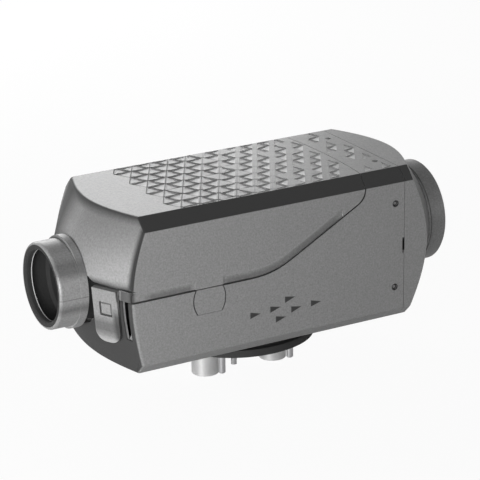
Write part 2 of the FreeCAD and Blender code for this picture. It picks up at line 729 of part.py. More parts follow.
def crescent(x0, radius):
    """Groove over the top of a collar that runs out towards both sides."""
    floor = rod_x(radius - CRESCENT_DEPTH + CRESCENT_DROP, x0 - 1, x0 + GROOVE_WIDTH + 1)
    floor.translate(-Z_DIR * CRESCENT_DROP)
    return rod_x(radius + 2 * COLLAR_RING, x0, x0 + GROOVE_WIDTH).cut(floor)


def inlet_collar():
    """Round duct collar: rolled-in rim, oval ring, narrower neck and a flange behind the wall."""
    bore = INLET_R - COLLAR_WALL
    neck_bore = NECK_R - COLLAR_WALL
    tube_end = inlet_cone_x(CHEEK_SLOPE, INLET_R + GAP) - GAP
    flange_r = INLET_R + 2 * COLLAR_RING
    seat = inlet_cone_x(CHIN_SLOPE, flange_r, WALL) + GAP
    end = FAN_X - FAN_GAP / 2
    profile = [(RIM_X, INLET_EYE_R), (RIM_X, INLET_R),
               (tube_end, INLET_R), (tube_end, NECK_R), (seat, NECK_R),
               (seat, flange_r), (end, flange_r), (end, neck_bore), (tube_end - COLLAR_WALL, neck_bore),
               (tube_end - 2 * COLLAR_WALL, bore),
               (RIM_X + RIM_DEPTH, bore), (RIM_X + RIM_DEPTH, INLET_EYE_R)]
    collar = turned(profile)
    rim = [e for e in collar.Edges if abs(e.BoundBox.XMax - RIM_X) < 0.01 and e.Length > INLET_R]
    collar = collar.makeFillet(min(RIM_DEPTH, COLLAR_WALL) * 0.9, rim)
    oval = Part.Ellipse(V(0, 0, 0), INLET_R + COLLAR_RING, INLET_R + GAP)
    ring = Part.Face(Part.Wire(oval.toShape())).extrude(Z_DIR * (tube_end - RIM_X - INLET_LEN))
    ring.rotate(V(0, 0, 0), Y_DIR, -90)
    ring.translate(V(tube_end, 0, AXIS_Z))
    collar = collar.fuse(ring.cut(rod_x(INLET_R - COLLAR_WALL / 2, RIM_X, FAN_X)))
    return collar.cut(crescent(RIM_X + INLET_LEN, INLET_R))


def outlet_collar():
    """Round duct collar with a double groove at its foot and a flange inside the hood."""
    bore = OUTLET_R - COLLAR_WALL
    foot_r = OUTLET_R - GROOVE_DEPTH
    band_r = OUTLET_R - GAP
    flange_r = OUTLET_R + COLLAR_RING
    seat = outlet_cone_x(flange_r, WALL + GAP) - GAP
    band_x = outlet_cone_x(OUTLET_R + GAP) + GROOVE_WIDTH
    rim = OUTLET_REACH
    lip = COLLAR_WALL / 2
    profile = [(rim, bore + lip), (rim, OUTLET_R - lip), (rim - lip, OUTLET_R),
               (band_x + 2 * GROOVE_WIDTH, OUTLET_R), (band_x + 2 * GROOVE_WIDTH, foot_r),
               (band_x + GROOVE_WIDTH, foot_r), (band_x + GROOVE_WIDTH, band_r), (band_x, band_r),
               (band_x, foot_r), (seat, foot_r), (seat, flange_r), (seat - RING_WIDTH, flange_r),
               (seat - RING_WIDTH, bore), (rim - lip, bore)]
    return turned(profile).cut(crescent(band_x, foot_r))


def port_plug(side):
    """Moulded plug that closes a cable port: face in the wall, flange inside it."""
    face = port_block(-GAP, -HALF_WIDTH, -HALF_WIDTH + WALL + GAP)
    flange_y = -HALF_WIDTH + WALL + GAP
    flange = port_block(PORT_FLANGE, flange_y, flange_y + PORT_FLANGE)
    trim = slab(-FAR, FAR, -FAR, FAR, SEAM_Z - GAP, FAR)
    plug = join([face, flange]).cut(trim)
    return mirrored(plug) if side > 0 else plug


# Base pieces

def base_gasket():
    plate = base_oval(0, 0, GASKET_T)
    ring = base_oval(FOOT_INSET - GAP - GASKET_RING, GASKET_T, BOTTOM_Z)
    gasket = join([plate, ring])
    gasket = gasket.cut(foot_form(GAP, GASKET_T, BOTTOM_Z))
    holes = [rod_z(STUD_SEAT_R + GAP, x, y, -1, GASKET_T + 1) for x, y in STUDS]
    holes += [rod_z(PIPE_SEAT_R + GAP, x, 0, -1, GASKET_T + 1) for x in (AIR_PIPE_X, EXHAUST_X)]
    holes.append(rod_z(FUEL_SEAT_R + GAP, FUEL_X, FUEL_Y, -1, GASKET_T + 1))
    return gasket.cut(Part.makeCompound(holes))


def stud_top():
    return BOTTOM_Z + WALL + SHOULDER_T - 1


def mounting_studs():
    studs = []
    for x, y in STUDS:
        stud = rod_z(STUD_R, x, y, -STUD_LEN, -GAP)
        tip = [e for e in stud.Edges if abs(e.BoundBox.ZMax + STUD_LEN) < 0.01]
        stud = stud.makeChamfer(STUD_R / 4, tip)
        studs.append(stud.fuse(rod_z(STUD_SEAT_R, x, y, -STUD_LEN / 2, stud_top())))
    return Part.makeCompound(studs)


def pipe(x):
    """Turned connecting pipe, seated in the foot of the heat exchanger."""
    outer = rod_z(PIPE_R, x, 0, -PIPE_LEN, -GAP)
    end = [e for e in outer.Edges if abs(e.BoundBox.ZMax + PIPE_LEN) < 0.01]
    seat = rod_z(PIPE_SEAT_R, x, 0, -PIPE_LEN / 2, GASKET_T + PIPE_SEAT)
    outer = outer.makeChamfer(PIPE_WALL / 3, end).fuse(seat)
    return outer.cut(rod_z(PIPE_R - PIPE_WALL, x, 0, -PIPE_LEN - 1, GASKET_T + PIPE_SEAT + 1))


def fuel_pipe():
    outer = rod_z(FUEL_R, FUEL_X, FUEL_Y, -FUEL_LEN, -GAP)
    outer = outer.fuse(rod_z(FUEL_SEAT_R, FUEL_X, FUEL_Y, -FUEL_LEN / 2, GASKET_T + PIPE_SEAT))
    return outer.cut(rod_z(FUEL_R - FUEL_WALL, FUEL_X, FUEL_Y, -FUEL_LEN - 1, FAR))


# Heat exchanger and burner

def ears(x0, x1, radius=EAR_R):
    """Four lugs for the long screws that hold blower, burner and heat exchanger together."""
    lug = rod_x(radius, x0, x1, 0, EAR_PITCH_R)
    return round_array(lug, len(EAR_ANGLES), EAR_ANGLES[0])


def ear_webs(x0, x1, root_r=CASE_R - EAR_R):
    """Webs that tie the lugs to the round body inside them."""
    web = slab(x0, x1, -EAR_R, EAR_R, AXIS_Z + root_r, AXIS_Z + EAR_PITCH_R)
    return round_array(web, len(EAR_ANGLES), EAR_ANGLES[0])


def fins():
    """Lengthwise cooling fins around the core, cut to the housing's section."""
    reach = 2 * HALF_WIDTH
    root = CORE_R - CORE_WALL / 2
    fin = slab(FIN_FRONT_X, FIN_REAR_X, -FIN_T / 2, FIN_T / 2, AXIS_Z + root, AXIS_Z + reach)
    section = body_prism(FIN_MARGIN, FIN_FRONT_X, FIN_REAR_X)
    floor = BOTTOM_Z + WALL + SHOULDER_T
    keep_out = slab(FIN_FRONT_X, FIN_REAR_X, -HALF_WIDTH, HALF_WIDTH, 0, floor)
    channel_end = SENSOR_X + SENSOR_LEN
    keep_out = keep_out.fuse(slab(FIN_FRONT_X, channel_end, -CHANNEL / 2, CHANNEL / 2, AXIS_Z, FAR))
    return [f.common(section).cut(keep_out) for f in round_array(fin, FIN_COUNT, 180.0 / FIN_COUNT)]


def heat_exchanger():
    """Cast body: round core with a domed end, radial fins, pedestal, shoulder and foot."""
    shoulder_z = BOTTOM_Z + WALL
    fin_floor = shoulder_z + SHOULDER_T
    dome_r = CORE_R - DOME
    core = turned([(EXCHANGER_FRONT_X, 0), (EXCHANGER_FRONT_X, CORE_R), (FIN_REAR_X, CORE_R),
                   (FIN_REAR_X + DOME, dome_r), (FIN_REAR_X + DOME, 0)])
    pedestal = slab(EXCHANGER_FRONT_X, GASKET_X + GASKET_LENGTH / 2 - FOOT_INSET, -PEDESTAL_WIDTH / 2,
                    PEDESTAL_WIDTH / 2, fin_floor - 1, AXIS_Z - CORE_R / 2)
    shoulder = base_oval(GAP, shoulder_z, fin_floor)
    foot = foot_form(0, GASKET_T, fin_floor)
    pad = slab(SENSOR_X - SENSOR_LEN / 2 - 2, SENSOR_X + SENSOR_LEN / 2 + 2, -SENSOR_WIDTH / 2,
               SENSOR_WIDTH / 2, AXIS_Z + CORE_R - CORE_WALL, AXIS_Z + CORE_R + 4)
    boss = rod_z(GLOW_R + 3, GLOW_X, 0, AXIS_Z + CORE_R - CORE_WALL, AXIS_Z + CORE_R + 3)
    front = EXCHANGER_FRONT_X
    ear_end = front + SCREW_BITE + 4
    body = join([core, pedestal, shoulder, foot, pad, boss] + fins()
                + ears(front, ear_end) + ear_webs(front, ear_end, CORE_R - EAR_R))
    inner = CORE_R - CORE_WALL
    cavity = turned([(front - 1, 0), (front - 1, inner), (FIN_REAR_X - CORE_WALL, inner),
                     (FIN_REAR_X + DOME - CORE_WALL, inner - DOME), (FIN_REAR_X + DOME - CORE_WALL, 0)])
    holes = [cavity]
    seat_top = GASKET_T + PIPE_SEAT
    for x in (AIR_PIPE_X, EXHAUST_X):
        holes.append(rod_z(PIPE_SEAT_R + FIT, x, 0, 0, seat_top + FIT))
    holes.append(rod_z(PIPE_R - PIPE_WALL, EXHAUST_X, 0, seat_top, AXIS_Z))
    duct_z = air_duct_z()
    holes.append(rod_x(AIR_DUCT_R, front - 1, AIR_PIPE_X, 0, duct_z - AXIS_Z))
    holes.append(rod_z(AIR_DUCT_R, AIR_PIPE_X, 0, seat_top, duct_z))
    holes.append(rod_z(FUEL_SEAT_R + FIT, FUEL_X, FUEL_Y, 0, seat_top + FIT))
    holes += [rod_z(STUD_SEAT_R + FIT, x, y, 0, stud_top() + FIT) for x, y in STUDS]
    holes.append(rod_z(GLOW_R + FIT, GLOW_X, 0, AXIS_Z, FAR))
    holes += ears(front - 1, front + SCREW_BITE, SCREW_R + FIT)
    return body.cut(Part.makeCompound(holes))


def air_duct_z():
    """Height of the passage that leads combustion air forward to its fan."""
    return GASKET_T + PIPE_SEAT + AIR_DUCT_R


def burner_flange():
    plate = join([rod_x(CASE_R, FLANGE_X, EXCHANGER_FRONT_X)] + ears(FLANGE_X, EXCHANGER_FRONT_X)
                 + ear_webs(FLANGE_X, EXCHANGER_FRONT_X))
    holes = ears(FLANGE_X - 1, EXCHANGER_FRONT_X + 1, SCREW_R + FIT)
    holes.append(rod_x(SHAFT_R * 3, FLANGE_X - 1, EXCHANGER_FRONT_X + 1))
    return plate.cut(Part.makeCompound(holes))


def combustion_chamber():
    """Sheet tube on the burner flange, with a ring that centres it in the core."""
    x0 = EXCHANGER_FRONT_X
    x1 = x0 + CHAMBER_LEN
    inner = CHAMBER_R - SHEET
    rim = CORE_R - CORE_WALL - GAP
    profile = [(x0, inner), (x0, rim), (x0 + SHEET, rim),
               (x0 + SHEET, CHAMBER_R), (x1, CHAMBER_R), (x1, inner)]
    return turned(profile).cut(rod_z(GLOW_R + GAP, GLOW_X, 0, AXIS_Z, FAR))


def flame_tube():
    x0 = EXCHANGER_FRONT_X + CHAMBER_LEN - TELESCOPE
    x1 = x0 + FLAME_TUBE_LEN
    outer = CHAMBER_R - SHEET - GAP
    mouth = outer * 0.75
    profile = [(x0, outer - SHEET), (x0, outer), (x1 - outer / 4, outer), (x1, mouth),
               (x1, mouth - SHEET), (x1 - outer / 4, outer - SHEET)]
    return turned(profile)


def glow_plug():
    """Screwed-in plug with its hexagon, seat collar, terminal and heater tip."""
    seat = AXIS_Z + CORE_R + 3
    top = AXIS_Z + GLOW_RISE
    body = rod_z(GLOW_R, GLOW_X, 0, AXIS_Z + CHAMBER_R - SHEET, seat)
    tip = rod_z(GLOW_R / 2, GLOW_X, 0, AXIS_Z + GLOW_TIP, AXIS_Z + CHAMBER_R)
    corners = []
    for i in range(6):
        angle = math.radians(60 * i)
        corners.append(V(GLOW_X + GLOW_HEX * math.cos(angle), GLOW_HEX * math.sin(angle), seat))
    nut = Part.Face(Part.makePolygon(corners + corners[:1])).extrude(Z_DIR * GLOW_R)
    neck = rod_z(GLOW_R * 0.8, GLOW_X, 0, seat + GLOW_R, top - GLOW_R)
    terminal = rod_z(GLOW_R * 0.45, GLOW_X, 0, top - GLOW_R, top)
    return join([body, tip, nut, neck, terminal])


def sensor_seat():
    return AXIS_Z + CORE_R + 4


def overheat_sensor():
    z0 = sensor_seat()
    half = SENSOR_LEN / 2
    corners = [(SENSOR_X - half, z0, 0), (SENSOR_X + half, z0, 0),
               (SENSOR_X + half, z0 + SENSOR_HEIGHT, 2),
               (SENSOR_X - half, z0 + SENSOR_HEIGHT, 2)]
    block = rounded_face(corners, side_view).extrude(Y_DIR * (SENSOR_WIDTH - 2))
    block.translate(V(0, 1 - SENSOR_WIDTH / 2, 0))
    return block


def sensor_clip():
    """Spring strip bent over the sensor and down both sides of its pad."""
    z_top = sensor_seat() + SENSOR_HEIGHT
    half = SENSOR_WIDTH / 2 + GAP
    strip = SENSOR_LEN / 3
    outer = slab(SENSOR_X - strip / 2, SENSOR_X + strip / 2, -half - CLIP_T, half + CLIP_T,
                 sensor_seat() - 3, z_top + CLIP_T)
    inner = slab(SENSOR_X - strip, SENSOR_X + strip, -half, half, 0, z_top)
    return outer.cut(inner)


# Blower

def burner_fan_housing():
    """Cup around the combustion-air fan, with the duct that feeds it from the base."""
    x0 = BURNER_FAN_X
    duct_z = air_duct_z()
    reach = AIR_DUCT_R + BURNER_FAN_WALL
    case_foot = AXIS_Z - CASE_R
    cup = join([rod_x(CASE_R, x0, FLANGE_X)] + ears(x0, FLANGE_X) + ear_webs(x0, FLANGE_X)
               + [slab(x0, FLANGE_X, -reach, reach, duct_z - reach, case_foot + 2 * BURNER_FAN_WALL),
                  slab(FLANGE_X - 1, EXCHANGER_FRONT_X, -reach, reach, duct_z - reach, case_foot - GAP)])
    holes = [rod_x(CASE_R - BURNER_FAN_WALL, x0 + BURNER_FAN_WALL, FLANGE_X + 1)]
    holes.append(rod_x(SHAFT_R + GAP, x0 - 1, FLANGE_X))
    middle = (x0 + FLANGE_X) / 2
    holes.append(rod_x(AIR_DUCT_R, middle, EXCHANGER_FRONT_X + 1, 0, duct_z - AXIS_Z))
    holes.append(rod_z(AIR_DUCT_R, middle, 0, duct_z, AXIS_Z - BURNER_FAN_R))
    holes += ears(x0 - 1, FLANGE_X + 1, SCREW_R + FIT)
    return cup.cut(Part.makeCompound(holes))


def curved_blade(r0, r1, x0, x1, lean):
    """Strip of a round arc from radius r0 to r1, turned by the lean on its way out, along X."""
    def at(r, angle, offset):
        turn = math.radians(angle)
        across = V(0, -math.sin(turn), math.cos(turn)) * offset
        return V(x0, 0, AXIS_Z) + V(0, math.cos(turn), math.sin(turn)) * r + across
    half = BLADE_T / 2
    stations = [(r0, 0.0), ((r0 + r1) / 2, lean * 0.35), (r1, lean)]
    front = [at(r, angle, half) for r, angle in stations]
    back = [at(r, angle, -half) for r, angle in stations]
    edges = [Part.Arc(front[0], front[1], front[2]).toShape(),
             Part.LineSegment(front[2], back[2]).toShape(),
             Part.Arc(back[2], back[1], back[0]).toShape(),
             Part.LineSegment(back[0], front[0]).toShape()]
    return Part.Face(Part.Wire(edges)).extrude(X_DIR * (x1 - x0))


def heating_air_fan():
    """Mixed-flow fan: rounded hub that opens into a back plate, with swept blades on it."""
    plate_r = FAN_R - 2 * BLADE_T
    hub_len = FAN_LEN * 0.75
    hub = turned([(FAN_X, 0), (FAN_X, FAN_HUB_R * 0.6), (FAN_X + 3, FAN_HUB_R * 0.9),
                  (FAN_X + hub_len / 2, FAN_HUB_R), (FAN_X + hub_len, FAN_HUB_R * 1.35),
                  (FAN_BACK_X - BLADE_T, plate_r), (FAN_BACK_X, plate_r), (FAN_BACK_X, 0)])
    blade = curved_blade(FAN_HUB_R * 0.8, FAN_R, FAN_X + 1, FAN_BACK_X, FAN_LEAN)
    eye = INLET_R - COLLAR_WALL
    sweep = turned([(FAN_X + 1, 0), (FAN_X + 1, eye), (FAN_X + FAN_LEN / 3, FAN_R), (FAN_BACK_X, FAN_R),
                    (FAN_BACK_X, 0)])
    blades = [b.common(sweep) for b in round_array(blade, FAN_BLADES)]
    fan = join([hub] + blades)
    return fan.cut(rod_x(SHAFT_R + FIT / 2, FAN_X + FAN_LEN / 4, FAN_BACK_X + 1))


def combustion_air_fan():
    x0 = BURNER_FAN_X + BURNER_FAN_WALL + 2
    x1 = x0 + BURNER_FAN_LEN
    plate = rod_x(BURNER_FAN_R, x0, x0 + BLADE_T)
    hub = rod_x(SHAFT_R * 2.4, x0, x1)
    blade = curved_blade(SHAFT_R * 4, BURNER_FAN_R, x0, x1, BURNER_FAN_LEAN)
    fan = join([plate, hub] + round_array(blade, BURNER_FAN_BLADES))
    return fan.cut(rod_x(SHAFT_R + FIT / 2, x0 - 1, x1 + 1))


def motor_shaft():
    start = FAN_X + FAN_LEN / 4 + FIT
    end = BURNER_FAN_X + BURNER_FAN_WALL + 2 + BURNER_FAN_LEN
    return rod_x(SHAFT_R, start, end)


def motor_can():
    """Drawn cup around the motor, open towards the combustion-air side, with a bearing seat."""
    cup = rod_x(MOTOR_R, MOTOR_X, BURNER_FAN_X - MOTOR_WALL - FIT)
    inside = rod_x(MOTOR_R - MOTOR_WALL, MOTOR_X + BEARING_T + MOTOR_WALL, BURNER_FAN_X)
    seat = rod_x(BEARING_R + FIT, MOTOR_X + MOTOR_WALL, BURNER_FAN_X)
    return cup.cut(inside).cut(seat).cut(rod_x(SHAFT_R + GAP, MOTOR_X - 1, BURNER_FAN_X))


def motor_end_cap():
    x1 = BURNER_FAN_X
    cap = rod_x(MOTOR_R, x1 - MOTOR_WALL, x1)
    hub = rod_x(BEARING_R + 2, x1 - BEARING_T - MOTOR_WALL, x1)
    seat = rod_x(BEARING_R + FIT, x1 - BEARING_T - MOTOR_WALL - 1, x1 - MOTOR_WALL)
    return join([cap, hub]).cut(seat).cut(rod_x(SHAFT_R + GAP, MOTOR_X, x1 + 1))


def motor_bearings():
    front = ring_x(BEARING_R, SHAFT_R + FIT, MOTOR_X + MOTOR_WALL, MOTOR_X + MOTOR_WALL + BEARING_T)
    back_x = BURNER_FAN_X - MOTOR_WALL - BEARING_T
    rear = ring_x(BEARING_R, SHAFT_R + FIT, back_x, back_x + BEARING_T)
    return Part.makeCompound([front, rear])


def motor_inner_span():
    margin = BEARING_T + 3 * MOTOR_WALL
    return MOTOR_X + margin, BURNER_FAN_X - margin


def motor_stator():
    """Slotted iron ring of the motor."""
    x0, x1 = motor_inner_span()
    ring = ring_x(MOTOR_R - MOTOR_WALL - FIT, STATOR_R, x0, x1)
    half = STATOR_R / 6
    slot = slab(x0 - 1, x1 + 1, -half, half, AXIS_Z + STATOR_R - 1, AXIS_Z + STATOR_R * 1.4)
    return ring.cut(Part.makeCompound(round_array(slot, 9)))


def motor_magnet():
    x0, x1 = motor_inner_span()
    return ring_x(MAGNET_R, SHAFT_R + FIT / 2, x0, x1)


def cradle_z():
    """Top of the cradle that carries the control unit, let halfway into the motor sleeve."""
    return AXIS_Z + MOTOR_R + GAP + HOLDER_T + CRADLE_T / 2


def unit_x0():
    return BURNER_FAN_X - HOLDER_T - GAP - UNIT_LEN


def blower_holder():
    """Moulding that holds the motor, rings the fan, carries the control unit and stands on the floor."""
    sleeve_r = MOTOR_R + GAP + HOLDER_T
    flange_x = BURNER_FAN_X - HOLDER_T
    shroud_in = FAN_R + SHROUD_GAP
    shroud_x0 = FAN_X + FAN_LEN / 4
    arm_x0 = FAN_BACK_X + FAN_GAP / 2
    arm_x1 = unit_x0() - GAP
    pieces = [rod_x(sleeve_r, MOTOR_X, BURNER_FAN_X), rod_x(CASE_R, flange_x, BURNER_FAN_X)]
    pieces += ears(flange_x, BURNER_FAN_X) + ear_webs(flange_x, BURNER_FAN_X)
    half = HOLDER_T / 2
    arm = slab(arm_x0, arm_x1, -half, half, AXIS_Z + MOTOR_R, AXIS_Z + shroud_in + half)
    pieces += round_array(arm, 6, 30)
    pieces.append(ring_x(shroud_in + HOLDER_T, shroud_in, shroud_x0, arm_x0 + HOLDER_T))
    floor = BOTTOM_Z + WALL + GAP
    foot_x = MOTOR_X + MOTOR_LEN / 3
    foot_y = 6 * HOLDER_T
    pieces.append(slab(foot_x, flange_x + 1, -HOLDER_T, HOLDER_T, floor, AXIS_Z - MOTOR_R))
    pieces.append(slab(foot_x, flange_x + 1, -foot_y, foot_y, floor, floor + HOLDER_T))
    unit0 = unit_x0()
    unit1 = unit0 + UNIT_LEN
    top = cradle_z()
    pieces.append(slab(unit0, flange_x + 1, -UNIT_WIDTH / 2, UNIT_WIDTH / 2, top - CRADLE_T, top))
    ear_y = UNIT_WIDTH / 2 + UNIT_EAR
    middle = (unit0 + unit1) / 2
    ear_x = UNIT_EAR / 2
    pieces.append(slab(middle - ear_x, middle + ear_x, -ear_y, ear_y, top - 3 * CRADLE_T, top))
    for side in (-1, 1):
        y = side * UNIT_WIDTH / 3
        pieces.append(slab(unit0 + 1, flange_x + 1, y - half, y + half, AXIS_Z, top - CRADLE_T / 2))
    holder = join(pieces)
    holes = [rod_x(MOTOR_R + GAP, FAN_X, BURNER_FAN_X + 1)]
    holes += ears(flange_x - 1, BURNER_FAN_X + 1, SCREW_R + FIT)
    holes += unit_screw_rods(SCREW_R * 0.8 + FIT, top - 3 * CRADLE_T - 1, top + 1)
    return holder.cut(Part.makeCompound(holes))


def unit_screw_rods(radius, z0, z1):
    x = unit_x0() + UNIT_LEN / 2
    y = (UNIT_WIDTH + UNIT_EAR) / 2
    return [rod_z(radius, x, side * y, z0, z1) for side in (-1, 1)]


def case_screws():
    """Four long screws through holder, fan housing and burner flange into the heat exchanger."""
    head_x = BURNER_FAN_X - HOLDER_T
    shanks = ears(head_x, EXCHANGER_FRONT_X + SCREW_BITE - 1, SCREW_R)
    heads = ears(head_x - SCREW_HEAD, head_x, SCREW_HEAD_R)
    sockets = ears(head_x - SCREW_HEAD - 1, head_x - SCREW_HEAD / 2, SCREW_R * 0.8)
    screws = [join([shank, head]).cut(socket) for shank, head, socket in zip(shanks, heads, sockets)]
    return Part.makeCompound(screws)


def unit_screws():
    top = cradle_z()
    z_head = top + 2 * CRADLE_T
    shanks = unit_screw_rods(SCREW_R * 0.8, top - 2 * CRADLE_T, z_head)
    heads = unit_screw_rods(SCREW_HEAD_R * 0.8, z_head, z_head + SCREW_HEAD / 2)
    return Part.makeCompound([join([shank, head]) for shank, head in zip(shanks, heads)])


def control_unit():
    """Closed electronics box with rounded top edges and two fixing ears."""
    x0 = unit_x0()
    x1 = x0 + UNIT_LEN
    z0 = cradle_z()
    z1 = z0 + UNIT_HEIGHT
    w = UNIT_WIDTH / 2
    corners = [(-w, z0, 1), (w, z0, 1), (w, z1, 5), (-w, z1, 5)]
    box = rounded_face(corners, lambda p: V(x0, p.x, p.y)).extrude(X_DIR * UNIT_LEN)
    middle = (x0 + x1) / 2
    ear_x = UNIT_EAR / 2
    ear_y = w + UNIT_EAR
    ear = slab(middle - ear_x, middle + ear_x, -ear_y, ear_y, z0, z0 + 2 * CRADLE_T)
    unit = join([box, ear])
    return unit.cut(Part.makeCompound(unit_screw_rods(SCREW_R * 0.8 + FIT, z0 - 1, z0 + 3 * CRADLE_T)))


def lead_plug():
    """Plug-in connector on the control unit for the leads of the burner."""
    x0 = unit_x0() + UNIT_LEN
    z0 = AXIS_Z + CASE_R + 1
    z1 = z0 + PLUG_HEIGHT
    body = slab(x0, x0 + PLUG_DEPTH * 0.6, -UNIT_WIDTH / 3, UNIT_WIDTH / 3, z0, z1)
    nose = slab(x0, x0 + PLUG_DEPTH, -UNIT_WIDTH / 4, UNIT_WIDTH / 4, z0 + 1, z1 - 1)
    return join([body, nose])


def lead_z():
    """Height at which the leads leave their plug."""
    return AXIS_Z + CASE_R + 1 + PLUG_HEIGHT / 2


def lead(points, radius):
    """Round lead along straight runs joined by tangent arcs as large as the runs allow."""
    vectors = [V(*p) for p in points]
    edges = []
    start = vectors[0]
    for before, here, after in zip(vectors, vectors[1:], vectors[2:]):
        back = before - here
        ahead = after - here
        reach = 0.45 * min(back.Length, ahead.Length)
        back.normalize()
        ahead.normalize()
        half = back.getAngle(ahead) / 2
        bend = reach * math.tan(half)
        middle = here + (back + ahead).normalize() * (bend / math.sin(half) - bend)
        edges.append(Part.LineSegment(start, here + back * reach).toShape())
        edges.append(Part.Arc(here + back * reach, middle, here + ahead * reach).toShape())
        start = here + ahead * reach
    edges.append(Part.LineSegment(start, vectors[-1]).toShape())
    path = Part.Wire(edges)
    ring = Part.Wire(Part.makeCircle(radius, vectors[0], vectors[1] - vectors[0]))
    return path.makePipeShell([ring], True, False)


def sensor_lead():
    x0 = unit_x0() + UNIT_LEN + PLUG_DEPTH
    x1 = SENSOR_X - SENSOR_LEN / 2
    z0 = lead_z()
    z1 = sensor_seat() + SENSOR_HEIGHT / 2
    side = CHANNEL / 2 - 2 * LEAD_R
    span = x1 - x0
    points = [(x0, -side, z0), (x0 + span * 0.2, -side, z0), (x0 + span * 0.45, -side + 1, (z0 + z1) / 2),
              (x0 + span * 0.7, -side, z1), (x0 + span * 0.88, -2, z1), (x1, -2, z1)]
    return lead(points, LEAD_R)


def glow_lead():
    x0 = unit_x0() + UNIT_LEN + PLUG_DEPTH
    z0 = lead_z()
    z1 = AXIS_Z + GLOW_RISE - GLOW_R / 2
    x1 = GLOW_X - GLOW_R * 0.45 - GAP
    span = x1 - x0
    points = [(x0, 4, z0), (x0 + span * 0.3, 4, z0), (x0 + span * 0.65, 1, z1), (x1, 0, z1)]
    return lead(points, LEAD_R * 0.9)


PIECES = {
    "lower_shell": lower_shell(),
    "upper_cover": upper_cover(),
    "outlet_hood": outlet_hood(),
    "inlet_collar": inlet_collar(),
    "outlet_collar": outlet_collar(),
    "cable_port_plug": port_plug(-1),
    "cable_grommet": port_plug(1),
    "base_gasket": base_gasket(),
    "mounting_studs": mounting_studs(),
    "combustion_air_pipe": pipe(AIR_PIPE_X),
    "exhaust_pipe": pipe(EXHAUST_X),
    "fuel_pipe": fuel_pipe(),
    "heat_exchanger": heat_exchanger(),
    "burner_flange": burner_flange(),
    "combustion_chamber": combustion_chamber(),
    "flame_tube": flame_tube(),
    "glow_plug": glow_plug(),
    "overheat_sensor": overheat_sensor(),
    "sensor_clip": sensor_clip(),
    "burner_fan_housing": burner_fan_housing(),
    "heating_air_fan": heating_air_fan(),
    "combustion_air_fan": combustion_air_fan(),
    "motor_shaft": motor_shaft(),
    "motor_can": motor_can(),
    "motor_end_cap": motor_end_cap(),
    "motor_bearings": motor_bearings(),
    "motor_stator": motor_stator(),
    "motor_magnet": motor_magnet(),
    "blower_holder": blower_holder(),
    "case_screws": case_screws(),
    "control_unit": control_unit(),
    "unit_screws": unit_screws(),
    "lead_plug": lead_plug(),
    "sensor_lead": sensor_lead(),
    "glow_lead": glow_lead(),
}

for name, shape in PIECES.items():
    shape.exportStep("parts/" + name + ".step")
    print(name, shape.isValid(), len(shape.Solids), round(shape.Volume / 1000, 2), "cm3")
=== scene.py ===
import json
import math

import bpy
import numpy as np
from mathutils import Matrix, Vector


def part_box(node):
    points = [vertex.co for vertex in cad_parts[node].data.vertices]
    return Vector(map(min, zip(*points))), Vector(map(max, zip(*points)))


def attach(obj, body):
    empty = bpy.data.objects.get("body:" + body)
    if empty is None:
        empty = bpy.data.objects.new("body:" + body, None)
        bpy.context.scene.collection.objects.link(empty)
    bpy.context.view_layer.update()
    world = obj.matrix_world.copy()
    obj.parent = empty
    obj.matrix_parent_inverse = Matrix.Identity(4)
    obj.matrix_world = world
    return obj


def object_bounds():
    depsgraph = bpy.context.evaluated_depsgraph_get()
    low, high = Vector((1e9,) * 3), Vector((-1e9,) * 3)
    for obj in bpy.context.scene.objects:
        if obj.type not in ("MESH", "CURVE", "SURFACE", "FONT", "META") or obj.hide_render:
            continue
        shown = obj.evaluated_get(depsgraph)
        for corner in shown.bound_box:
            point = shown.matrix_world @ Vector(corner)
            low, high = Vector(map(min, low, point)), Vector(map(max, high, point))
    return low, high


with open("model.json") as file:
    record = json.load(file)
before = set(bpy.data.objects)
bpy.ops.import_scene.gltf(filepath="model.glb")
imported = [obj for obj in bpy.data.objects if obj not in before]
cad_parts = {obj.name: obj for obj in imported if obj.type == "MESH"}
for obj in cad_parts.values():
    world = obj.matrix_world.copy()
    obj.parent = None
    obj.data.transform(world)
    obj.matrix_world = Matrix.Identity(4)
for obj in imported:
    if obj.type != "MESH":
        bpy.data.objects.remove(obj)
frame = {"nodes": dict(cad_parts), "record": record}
cad_low, cad_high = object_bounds()
nodes = frame["nodes"]

# Petrol parking heater in a plain studio. Metres, +Z up, warm air along +X.

MM = 0.001

# Places read from the frame
collar_low, collar_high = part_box("inlet_collar")
AXIS_Z = (collar_low.z + collar_high.z) / 2
TOP_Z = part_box("upper_cover")[1].z
HALF_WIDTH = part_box("lower_shell")[1].y
FLOOR_Z = cad_low.z
RIM_X = cad_low.x        # open end of the inlet collar

# Camera of the photograph: turn, height and roll in degrees, lens for a 36 mm sensor
CAMERA_TURN = -29.55
CAMERA_HEIGHT = 19.89
CAMERA_ROLL = -0.71
CAMERA_DISTANCE = 1976.91 * MM
SENSOR = 36.0
LENS = 172.2
PICTURE = 480            # width of the photograph in pixels
AIM = Vector((9 * MM, 0, AXIS_Z))
AIM_OFFSET = (6.65 / PICTURE, 3.64 / PICTURE)   # where the aim point stands right of and below the middle

# Studio
FILL = 0.15              # even light from all around
CEILING = 0.5            # greyer ceiling over the white walls, seen in reflections only
CEILING_FROM = 0.3       # rise of the direction where the walls end
CEILING_FULL = 0.55
GROUND_REACH = 6.0
GROUND_GREY = 0.8
GROUND_ROUGHNESS = 0.9
GROUND_GLOW = 0.94       # share of plain white that the camera sees of the ground
LAMPS = [                # name, place, aim, size, watts
    ("side_panel", (-0.75, -1.15, 0.4), (-0.05, 0, 0.1), (0.9, 0.6), 8.0),
    ("back_panel", (0.1, 1.3, 0.55), (0.02, 0, 0.15), (1.4, 0.9), 12),
    ("left_panel", (-1.0, -0.5, 0.1), (-0.15, -0.02, 0.1), (0.42, 0.3), 11),
]

